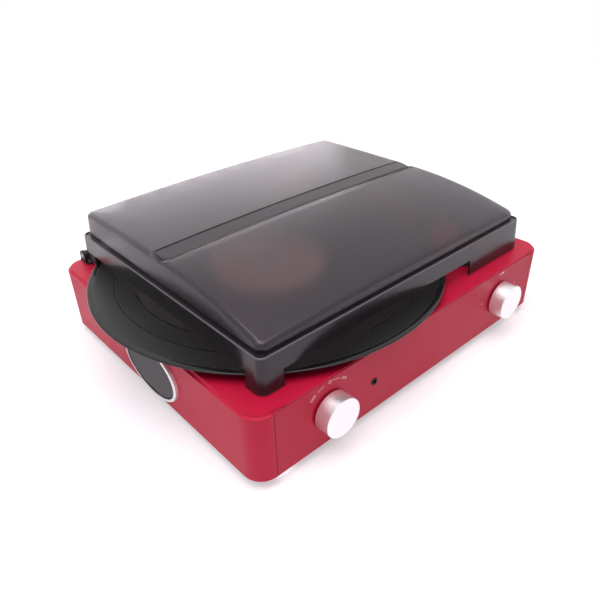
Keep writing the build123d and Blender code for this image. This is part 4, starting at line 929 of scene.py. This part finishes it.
@dataclass
class Speaker:
    """One speaker: bright bezel, ribbed oval grille and the driver behind it.

    Sizes are in mm where nothing else is said.
    """

    side: Side  # The side of the case.
    pitch: float = 2.0  # Spacing of the ribs.
    rib: float = 1.1  # Height of one rib.
    rib_depth: float = 1.0  # How far a rib stands off its backing.
    rib_drop: float = 0.15  # How far its front lies behind the rim.
    frame_width: float = 1.3  # Width of the plain rim round the ribs.
    frame_flat: float = 0.8  # Share of that width that is flat.
    frame_slope: float = 0.2  # Depth of its slope.
    floor_drop: float = 0.3  # How far the backing lies behind the ribs.
    steps: int = 96  # Faces round the rim.

    def __post_init__(self) -> None:
        """Reads the grille's place from the CAD."""
        self.word = self.side.name.lower()
        self.node = f"{self.word}_speaker_grille"
        low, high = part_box(self.node)
        self.centre = (low + high) / 2
        self.half_length = (high.y - low.y) / 2
        self.half_height = (high.z - low.z) / 2
        self.face, self.root = (low.x, high.x) if self.side is Side.LEFT else (high.x, low.x)

    def build(self) -> None:
        """Dresses the ring and the driver, and makes the ribs and their backing."""
        dress(BRIGHT_RING, f"{self.word}_speaker_bezel")
        dress(DRIVER_PAPER, f"{self.word}_speaker_driver")
        ribs, backing = f"{self.word}_grille_ribs", f"{self.word}_grille_backing"
        new_piece(ribs, self.ribs(), GRILLE_RIB, "root", "black_shell", replaces=self.node)
        new_piece(backing, self.backing(), GRILLE_GAP, "root", "black_shell")

    def ribs(self) -> Mesh:
        """Makes level ribs whose ends follow the oval."""
        rule = Rule(
            f"{self.word}_ribs",
            {
                "Count": int(2 * (self.half_height / MM - self.frame_width) / self.pitch),
                "Pitch": self.pitch * MM,
                "Rib height": self.rib * MM,
                "Rib depth": self.rib_depth * MM,
                "Half length": self.half_length - self.frame_width / 2 * MM,
                "Half height": self.half_height - self.frame_width / 2 * MM,
            },
        )
        web, inputs = rule.web, rule.inputs
        gaps = web.math("SUBTRACT", inputs["Count"], 1.0)
        start = web.math("MULTIPLY", web.math("MULTIPLY", gaps, inputs["Pitch"]), -0.5)
        ends = {"Start Location": web.vector(Z=start), "Offset": web.vector(Z=inputs["Pitch"])}
        row = {"Count": inputs["Count"], **ends}
        line = web.node("GeometryNodeMeshLine", row, mode="OFFSET")
        place = web.node("GeometryNodeInputPosition").outputs[0]
        height = web.node("ShaderNodeSeparateXYZ", {0: place}).outputs["Z"]
        share = web.math("DIVIDE", height, inputs["Half height"])
        rest = web.math("SUBTRACT", 1.0, web.math("POWER", share, 2.0))
        chord = web.math("MULTIPLY", web.math("SQRT", rest), inputs["Half length"])
        scale = web.vector(X=1.0, Y=web.math("MULTIPLY", chord, 2.0), Z=1.0)
        bar = web.vector(X=inputs["Rib depth"], Y=1.0, Z=inputs["Rib height"])
        mesh = rule.bake(rule.repeat(line.outputs[0], bar, Scale=scale), GRILLE_RIB)
        inward = -self.side.value * (self.rib_depth / 2 + self.rib_drop) * MM
        mesh.transform(Matrix.Translation((self.face + inward, self.centre.y, self.centre.z)))
        return mesh

    def backing(self) -> Mesh:
        """Makes the oval plate behind the ribs, with its raised rim."""
        steps, inward = self.steps, -self.side.value * MM
        rows = [
            (0.0, self.root),
            (0.0, self.face),
            (self.frame_width * self.frame_flat, self.face),
            (self.frame_width, self.face + inward * self.frame_slope),
            (self.frame_width, self.face + inward * (self.rib_depth + self.floor_drop)),
        ]
        if self.side is Side.LEFT:
            rows.reverse()
        points = []
        for inset, x in rows:
            for step in range(steps):
                turn = math.tau * step / steps
                y = (self.half_length - inset * MM) * math.cos(turn)
                z = (self.half_height - inset * MM) * math.sin(turn)
                points.append(Vector((x, self.centre.y + y, self.centre.z + z)))
        faces = grid_faces(len(rows), steps, ring=True)
        faces.append(tuple((len(rows) - 1) * steps + step for step in range(steps)))
        faces.append(tuple(range(steps))[::-1])
        return mesh_of(points, faces)


@dataclass
class Controls:
    """The two front knobs with their shafts and printing, and the stereo jack.

    Places and sizes of the printing are in mm from the middle of a knob.
    """

    letter: float = 2.3  # Height of the small capitals.
    arc_radius: float = 24.0  # Radius of the printed arc round the power knob.
    # Each word on it, with its angle in degrees.
    words: tuple[tuple[str, float], ...] = (("OFF", 130.0), ("ON", 56.0))
    dashes: Corners = ((103.0, 118.0), (67.0, 83.0))  # First and last angle of each of its strokes.
    stroke: float = 0.32  # Width of those strokes.
    sign_radius: float = 1.2  # Radius of the on-off sign.
    sign_drop: float = 0.2  # How far its centre lies within the arc.
    sign_turn: tuple[float, float] = (120.0, 420.0)  # First and last angle of its open ring.
    sign_stroke: float = 0.36  # Width of its strokes.
    sign_bar: tuple[float, float] = (0.1, 1.5)  # Foot and head of its bar, over the arc.
    # The wedge for more and less over the volume knob, from the arc.
    wedge: Corners = ((-4.6, -0.8), (3.4, -0.8), (3.4, 1.0))
    # Place of the right one of the two dots at the ends of its travel.
    dot: tuple[float, float] = (26.0, 4.1)
    dot_radius: float = 0.55  # Radius of a dot.

    def build(self) -> None:
        """Dresses the knobs and the jack, and prints the legends."""
        for word, control in (("power", "power_switch"), ("volume", "volume_control")):
            middle = tuple(centre_of(f"{word}_knob"))
            # Aluminium turned on a lathe: bright, with fine lines round it.
            lathe = {"centre": middle, "axis": Axis.Y, "line": 0.2, "depth": 0.03}
            metal = Turned(f"turned_aluminium_{word}", "#F4F4F5", 0.3, metallic=0.82, **lathe)
            dress(metal, f"{word}_knob")
            dress(STEEL, f"{word}_shaft")
            dress(BLACK_SHELL, control)
        dress(SOCKET_BLACK, "aux_jack")
        self.print_legends()

    def print_legends(self) -> None:
        """Prints the arc with OFF and ON, the power sign and the volume marks."""
        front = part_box("front_panel")[0].y
        power, volume = centre_of("power_knob"), centre_of("volume_knob")
        radius, half = self.arc_radius, self.sign_stroke / 2
        left = Print(Vector((power.x, front, power.z)))
        for word, angle in self.words:
            turn = math.radians(angle)
            x, y = radius * math.cos(turn), radius * math.sin(turn)
            left.text(word, x, y, self.letter, angle - 90)
        for start, end in self.dashes:
            left.arc(0, radius, start, end, self.stroke)
        left.arc(radius - self.sign_drop, self.sign_radius, *self.sign_turn, self.sign_stroke)
        left.box(-half, radius + self.sign_bar[0], half, radius + self.sign_bar[1])
        left.finish("power_legend")
        right = Print(Vector((volume.x, front, volume.z)))
        right.polygon([(x, radius + y) for x, y in self.wedge])
        for side in Side:
            right.disc(side.value * self.dot[0], self.dot[1], self.dot_radius)
        right.finish("volume_legend")


@dataclass
class Turntable:
    """Platter, mat, spindle, record and label, with the drive under them."""

    # Radius in mm and colour of each printed ring of the label.
    label_rings: tuple[tuple[float, str], ...] = (
        (0.0, "#F0E2D2"),
        (9.0, "#B4705C"),
        (9.8, "#F0DCCB"),
        (19.0, "#EBB8A8"),
        (45.0, "#B4705C"),
        (45.8, "#EFC8B8"),
    )

    def build(self) -> None:
        """Dresses the turning pieces and the drive."""
        middle = tuple(centre_of("vinyl_record"))
        vinyl = PressedVinyl("pressed_vinyl", "#0B090A", 0.36, specular=0.42, centre=middle)
        paper = RingedPaper(
            "printed_label_paper", "#C47E5E", 0.75, centre=middle, rings=self.label_rings
        )
        metal = Turned("turned_platter_aluminium", "#B4B5B8", 0.34, centre=middle, line=0.5)
        dress(vinyl, "vinyl_record")
        dress(paper, "record_label")
        dress(FELT, "slip_mat")
        dress(metal, "platter")
        dress(STEEL, "spindle")
        dress(BRASS, "spindle_bush", "motor_pulley")
        dress(SCREW_STEEL, "motor")
        dress(RUBBER, "drive_belt")
        dress(BLACK_SHELL, "single_adapter")


@dataclass
class Tonearm:
    """The arm with its pedestal, rest, clip, cue lever and the two switches.

    Sizes are in mm where nothing else is said.
    """

    sleeve_rise: float = 2.5  # How far the headshell's sleeve stands over its flat top.
    screw_pitch: float = 8.0  # Distance between the two cartridge screws.
    # Radius and height of the corners of their heads.
    screw_head: Corners = (
        (0, 0.05), (1.5, 0.05), (1.5, 0.6), (1.1, 0.95), (0.5, 1.0), (0.5, 0.6), (0, 0.6)
    )
    # Name and colour of each cartridge lead.
    lead_colours: tuple[tuple[str, str], ...] = (
        ("white", "#E6E4DE"), ("red", "#B3202A"), ("blue", "#2E4E9E"), ("green", "#2C7A45")
    )
    lead_pitch: float = 2.2  # Distance between the leads at the cartridge.
    lead_taper: float = 0.35  # Share of that distance that they lose at the neck.
    lead_reach: float = 9.0  # Length that the leads bridge.
    lead_start: float = 0.3  # How far they start before the cartridge's back.
    lead_drop: float = 2.2  # How far they start under its top.
    lead_rise: float = 1.4  # How far they rise.
    lead_sag: float = 0.9  # How far they hang.
    lead_radius: float = 0.35  # Radius of a lead.
    lead_steps: int = 12  # Pieces of its path.
    knurl_count: int = 60  # Number of ribs round the counterweight.
    knurl_rib: float = 0.45  # Width of such a rib.
    knurl_margin: float = 3.2  # Length of the counterweight without ribs.
    legend_gap: float = 5.6  # Distance of the switches' legends from their plates.
    legend_height: float = 2.3  # Height of those legends.
    speed_step: float = 7.0  # Travel of the speed button from one speed to the next.
    # Places of OFF and ON along the auto-stop's travel.
    stop_steps: tuple[float, float] = (-1.0, 5.0)

    def build(self) -> None:
        """Dresses the arm's nodes and adds its small pieces."""
        middle = tuple(centre_of("counterweight"))
        weight = Turned("turned_counterweight", "#8E9094", 0.35, centre=middle, axis=Axis.Y)
        dress(STEEL, "arm_tube", "gimbal_pin")
        dress(weight, "counterweight")
        dress(BLACK_SHELL, "arm_gimbal", "arm_housing", "arm_rest", "arm_clip", "tonearm_pedestal")
        dress(BLACK_SHELL, "lift_bar", "cue_lever", "headshell", "speed_plate", "speed_button")
        dress(BLACK_SHELL, "autostop_plate", "autostop_button")
        dress(CARTRIDGE_BODY, "cartridge")
        dress(STYLUS_HOLDER, "stylus")
        self.headshell_screws()
        self.leads()
        self.knurl()
        self.switch_legends()

    def headshell_screws(self) -> None:
        """Makes the two screws that hold the cartridge under the headshell."""
        middle = centre_of("cartridge")
        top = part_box("headshell")[1].z - self.sleeve_rise * MM
        reach = self.screw_pitch / 2 * MM
        places = [Vector((middle.x + side.value * reach, middle.y, top)) for side in Side]
        heads = turned_mesh(list(self.screw_head), places, steps=20)
        new_piece("headshell_screws", heads, SCREW_STEEL, "arm", "screw_steel", creased=True)

    def leads(self) -> None:
        """Makes the four thin leads from the cartridge's pins to the headshell's neck."""
        low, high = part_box("cartridge")
        middle = (low.x + high.x) / 2
        for number, (word, code) in enumerate(self.lead_colours):
            across = (number - (len(self.lead_colours) - 1) / 2) * self.lead_pitch * MM
            path = []
            for step in range(self.lead_steps + 1):
                share = step / self.lead_steps
                x = middle + across * (1 - self.lead_taper * share)
                y = high.y + (self.lead_reach * share - self.lead_start) * MM
                sag = math.sin(math.pi * share) * self.lead_sag
                z = high.z + (self.lead_rise * share - self.lead_drop - sag) * MM
                path.append(Vector((x, y, z)))
            sleeve = Grained(f"{word}_lead_sleeve", code, 0.5)
            wire = tube_mesh(path, self.lead_radius)
            new_piece(f"{word}_lead", wire, sleeve, "arm", "cartridge_body", smooth=True)

    def knurl(self) -> None:
        """Makes the fine ribs round the counterweight."""
        low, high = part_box("counterweight")
        rule = Rule(
            "counterweight_knurl",
            {
                "Count": self.knurl_count,
                "Radius": (high.x - low.x) / 2 - FIT * MM,
                "Rib": self.knurl_rib * MM,
                "Length": (high.y - low.y) - self.knurl_margin * MM,
            },
        )
        web, inputs = rule.web, rule.inputs
        circle = {"Vertices": inputs["Count"], "Radius": inputs["Radius"]}
        ring = web.node("GeometryNodeMeshCircle", circle).outputs[0]
        index = web.node("GeometryNodeInputIndex").outputs[0]
        turn = web.math("MULTIPLY", index, web.math("DIVIDE", math.tau, inputs["Count"]))
        bar = web.vector(X=inputs["Rib"], Y=inputs["Rib"], Z=inputs["Length"])
        mesh = rule.bake(rule.repeat(ring, bar, Rotation=web.vector(Z=turn)), STEEL)
        lie = Matrix.Rotation(math.radians(90), 4, "X")
        mesh.transform(Matrix.Translation((low + high) / 2) @ lie)
        new_piece("counterweight_knurl", mesh, STEEL, "arm", "steel")

    def switch_legends(self) -> None:
        """Prints the speeds and the positions of the auto-stop beside their switches."""
        drawing = Print(Vector((0, 0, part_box("case_shell")[1].z)), up=BACK)
        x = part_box("speed_plate")[1].x / MM + self.legend_gap
        speed, stop = centre_of("speed_button").y / MM, centre_of("autostop_button").y / MM
        for number, words in enumerate(("33", "45", "78")):
            drawing.text(words, x, speed + number * self.speed_step, self.legend_height)
        for words, step in zip(("OFF", "ON"), self.stop_steps):
            drawing.text(words, x, stop + step, self.legend_height)
        drawing.finish("switch_legends")


@dataclass
class Lid:
    """The smoked lid with its bumpers and hinges, and the raised strip in its trough.

    Sizes are in mm where nothing else is said.
    """

    strip_end: float = 11.2  # Distance of the strip's ends from the lid's ends.
    strip_front: float = -0.9  # Y of the strip's front edge, behind the line of painted shade at the front dome's rear edge.
    strip_back: float = 13.5  # Y of its back edge, before the step up to the rear dome.
    crown_from: float = -9.0  # Y on the front dome from which its height is read.
    strip_drop: float = 0.9  # How far its front edge lies under the front dome.
    strip_lift: float = 0.03  # How far its back edge stands over the lid.
    strip_least: float = 0.02  # Its least thickness.
    strip_grid: tuple[int, int] = (84, 6)  # Faces along it and across it.
    # How much closer its points stand at the ends, where a corner is rounded.
    crowding: float = 0.8
    hook: float = 6.5  # Radius of its rounded front left corner.
    # Y of the near and the far edge of each line of painted shade.
    shade_bands: Corners = ((-8.0, -3.2), (13.6, 14.7))
    shade_steps: int = 90  # Faces along a line of painted shade.
    lift: float = 0.04  # How far a piece on the lid's surface stands off it.
    rim_height: float = 94.75  # Z of the middle of the flange's rim.
    rim_radius: float = 0.75  # Its radius.
    rim_proud: float = 0.22  # How far it stands off the flange.
    rim_from: float = 10.0  # X at which the places of the flange's front and back are read.
    corner: float = 5.5  # Radius of the flange's corners.
    corner_steps: int = 8  # Pieces of the rim's path round a corner.
    beyond: float = 0.4  # A distance outside the lid, in metres.

    def __post_init__(self) -> None:
        """Reads the lid's surface from the CAD."""
        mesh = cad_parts["dust_cover"].data
        self.surface = BVHTree.FromPolygons(
            [vertex.co.copy() for vertex in mesh.vertices],
            [tuple(face.vertices) for face in mesh.polygons],
        )
        low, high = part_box("dust_cover")
        self.start, self.end = low.x + self.strip_end * MM, high.x - self.strip_end * MM

    def meet(self, start: Vector, way: Vector) -> Vector:
        """The first point of the lid that a straight line meets."""
        return self.surface.ray_cast(start, way)[0]

    def height(self, x: float, y: float) -> float:
        """Z of the lid's upper face over a point, in metres."""
        return self.meet(Vector((x, y, 1.0)), -UP).z

    def strip(self) -> Mesh:
        """Makes the strip that lies in the trough between the two domes."""
        along, across = self.strip_grid
        start, end, back = self.start, self.end, self.strip_back * MM
        tops, floors = [], []
        for step in range(along + 1):
            share = step / along
            share -= math.sin(math.tau * share) / math.tau * self.crowding
            x = start + (end - start) * share
            missing = max(0.0, self.hook - (x - start) / MM)
            curl = self.hook - math.sqrt(max(0.0, self.hook**2 - missing**2))
            front = (self.strip_front + curl) * MM
            crown = self.height(x, self.crown_from * MM) - self.strip_drop * MM
            rise = self.height(x, back) + self.strip_lift * MM
            for number in range(across + 1):
                y = front + (back - front) * number / across
                part = (y - self.strip_front * MM) / (back - self.strip_front * MM)
                floor = self.height(x, y) + self.lift * MM
                top = max(crown + (rise - crown) * part, floor + self.strip_least * MM)
                tops.append(Vector((x, y, top)))
                floors.append(Vector((x, y, floor)))
        under, row = len(tops), across + 1
        faces = grid_faces(along + 1, row, flip=True) + grid_faces(along + 1, row, under)
        # The points round the edge, in turn: along the front, up the end, and back.
        edge = [step * row for step in range(along)] + [along * row + n for n in range(across)]
        edge += [step * row + across for step in range(along, 0, -1)]
        edge += list(range(across, 0, -1))
        for here, there in zip(edge, edge[1:] + edge[:1]):
            faces.append((here, under + here, under + there, there))
        return mesh_of(tops + floors, faces)

    def grooves(self) -> Mesh:
        """Makes the two dark lines of painted shade along the trough, laid on the surface of the
        domes where its steps lie in shadow.
        """
        points, faces = [], []
        for near, far in self.shade_bands:
            lines = (near, (near + far) / 2, far)
            faces += grid_faces(self.shade_steps + 1, len(lines), len(points), flip=True)
            for step in range(self.shade_steps + 1):
                x = self.start + (self.end - self.start) * step / self.shade_steps
                for y in lines:
                    points.append(Vector((x, y * MM, self.height(x, y * MM) + self.lift * MM)))
        return mesh_of(points, faces)

    def rim(self) -> Mesh:
        """Makes the rounded rim along the flange's upper outer edge."""
        z, middle, far = self.rim_height * MM, self.rim_from * MM, self.beyond
        left = self.meet(Vector((-far, 0, z)), RIGHT).x
        right = self.meet(Vector((far, 0, z)), -RIGHT).x
        front = self.meet(Vector((middle, -far, z)), BACK).y
        back = self.meet(Vector((middle, far, z)), -BACK).y
        bend = self.corner * MM
        reach = bend - (self.rim_radius - self.rim_proud) * MM
        path = []
        for x, y, start in (
            (right - bend, back - bend, 0),
            (left + bend, back - bend, 90),
            (left + bend, front + bend, 180),
            (right - bend, front + bend, 270),
        ):
            for step in range(self.corner_steps + 1):
                turn = math.radians(start + 90 * step / self.corner_steps)
                path.append(Vector((x + reach * math.cos(turn), y + reach * math.sin(turn), z)))
        return tube_mesh(path, self.rim_radius, closed=True, sides=12)

    def build(self) -> None:
        """Dresses the lid and what holds it, and lays the strip in its trough."""
        new_piece("lid_rim", self.rim(), LID_RIM, "lid", "smoked_lid", smooth=True)
        # Two dark lines of painted shade along the trough's steps.
        lines = self.grooves()
        new_piece("lid_trough_shade_lines", lines, TROUGH_SHADE, "lid", "smoked_lid", smooth=True)
        new_piece("lid_trough_strip", self.strip(), LID, "lid", "smoked_lid", creased=True)
        dress(LID, "dust_cover", angle=22.0)
        dress(RUBBER, "lid_bumpers")
        dress(BLACK_SHELL, "left_hinge_bracket", "left_hinge_arm")
        dress(BLACK_SHELL, "right_hinge_bracket", "right_hinge_arm")
        dress(STEEL, "hinge_pins")
        dress(SCREW_STEEL, "bracket_screws")


# --------------------------------------------------------------------------- studio


@dataclass
class Softbox:
    """One rectangular area lamp."""

    name: str  # The lamp's name.
    place: Place  # Its place, in metres.
    aim: Place  # The point that it faces.
    size: tuple[float, float]  # Its width and height, in metres.
    power: float  # Its power, in watts.
    tint: str = "#FFF8FD"  # sRGB hex code of its light.

    def build(self) -> None:
        """Hangs the lamp."""
        lamp = bpy.data.lights.new(self.name, "AREA")
        lamp.shape = "RECTANGLE"
        lamp.size, lamp.size_y = self.size
        lamp.energy = self.power
        lamp.color = linear(self.tint)[:3]
        holder = linked(self.name, lamp)
        holder.location = self.place
        facing = Vector(self.aim) - Vector(self.place)
        holder.rotation_euler = facing.to_track_quat("-Z", "Y").to_euler()


@dataclass
class Studio:
    """White studio: floor, soft light and the camera at the photograph's angle."""

    place: Place = (-0.304347, -0.352305, 0.318110)  # The camera's place, in metres.
    yaw: float = 41.0637  # Its turn to the right from straight ahead, in degrees.
    pitch: float = 32.3311  # Its tilt downwards, in degrees.
    roll: float = -1.6955  # Its roll, in degrees.
    lens: float = 584.5259 / 600  # Focal length over sensor width.
    lamps: tuple[Softbox, ...] = (
        Softbox("overhead", (-0.25, -0.3, 1.6), (0.0, 0.0, 0.05), (1.4, 1.4), 17.5),
        Softbox("behind", (0.55, 1.95, 0.57), (0.0, 0.05, 0.1), (2.4, 0.5), 8.0),
        Softbox("left", (-1.1, -0.1, 1.5), (0.0, 0.0, 0.05), (0.6, 0.6), 2.6),
    )
    ambient: float = 0.36  # Strength of the even light from all round.
    floor_colour: str = "#F0EEF2"  # sRGB hex code of the floor.
    floor_lift: float = 0.4  # Light that the floor gives back to the eye beside what falls on it.
    # Half the floor's width, in metres. The white world goes on beyond it.
    floor_reach: float = 0.95

    def build(self) -> None:
        """Makes the world, the floor, the lamps and the camera."""
        self.world()
        self.floor()
        for lamp in self.lamps:
            lamp.build()
        self.camera()
        bpy.context.scene.view_settings.view_transform = "Standard"

    def seen_straight(self, web: Web) -> Socket:
        """A socket that is 1 for rays from the eye, a mirror or a clear piece."""
        path = web.node("ShaderNodeLightPath").outputs
        eye = web.math("MAXIMUM", path["Is Camera Ray"], path["Is Glossy Ray"])
        return web.math("MAXIMUM", eye, path["Is Transmission Ray"])

    def world(self) -> None:
        """Makes an even white world, at full white where it is seen."""
        world = bpy.data.worlds.new("studio")
        bpy.context.scene.world = world
        world.use_nodes = True
        world.node_tree.nodes.clear()
        web = Web(world.node_tree)
        strength = web.spread(self.seen_straight(web), self.ambient, 1.0)
        inputs = {"Color": linear("#FFFFFF"), "Strength": strength}
        light = web.node("ShaderNodeBackground", inputs)
        web.node("ShaderNodeOutputWorld", {0: light.outputs[0]})

    def floor(self) -> None:
        """Makes the pale floor, which keeps the object's shadow."""
        reach = self.floor_reach
        corners = [(-reach, -reach), (reach, -reach), (reach, reach), (-reach, reach)]
        mesh = mesh_of([Vector((x, y, 0)) for x, y in corners], [(0, 1, 2, 3)])
        material, web = blank_material("studio_floor")
        matt = web.node("ShaderNodeBsdfDiffuse", {"Color": linear(self.floor_colour)})
        lift = web.math("MULTIPLY", self.seen_straight(web), self.floor_lift)
        glow = web.node("ShaderNodeEmission", {"Strength": lift})
        both = web.node("ShaderNodeAddShader", {0: matt.outputs[0], 1: glow.outputs[0]})
        web.node("ShaderNodeOutputMaterial", {"Surface": both.outputs[0]})
        mesh.materials.append(material)
        linked("floor", mesh)

    def camera(self) -> None:
        """Sets the camera where the photograph was taken from."""
        yaw, pitch, roll = (math.radians(angle) for angle in (self.yaw, self.pitch, self.roll))
        flat = math.cos(pitch)
        ahead = Vector((math.sin(yaw) * flat, math.cos(yaw) * flat, -math.sin(pitch)))
        level = Vector((math.cos(yaw), -math.sin(yaw), 0))
        above = level.cross(ahead)
        right = level * math.cos(roll) + above * math.sin(roll)
        up = above * math.cos(roll) - level * math.sin(roll)
        lens = bpy.data.cameras.new("camera")
        lens.sensor_width = SENSOR
        lens.lens = SENSOR * self.lens
        lens.clip_start = 0.01
        lens.clip_end = 60.0
        holder = linked("camera", lens)
        turn = Matrix((right, up, -ahead)).transposed().to_4x4()
        holder.matrix_world = Matrix.Translation(self.place) @ turn
        bpy.context.scene.camera = holder


def main() -> None:
    """Builds the sub-assemblies in order, then the studio."""
    logging.basicConfig(level=logging.INFO, format="%(message)s")
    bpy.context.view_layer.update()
    Case().build()
    for side in Side:
        Speaker(side).build()
    Controls().build()
    Turntable().build()
    Tonearm().build()
    Lid().build()
    Studio().build()


if __name__ == "__main__":
    main()
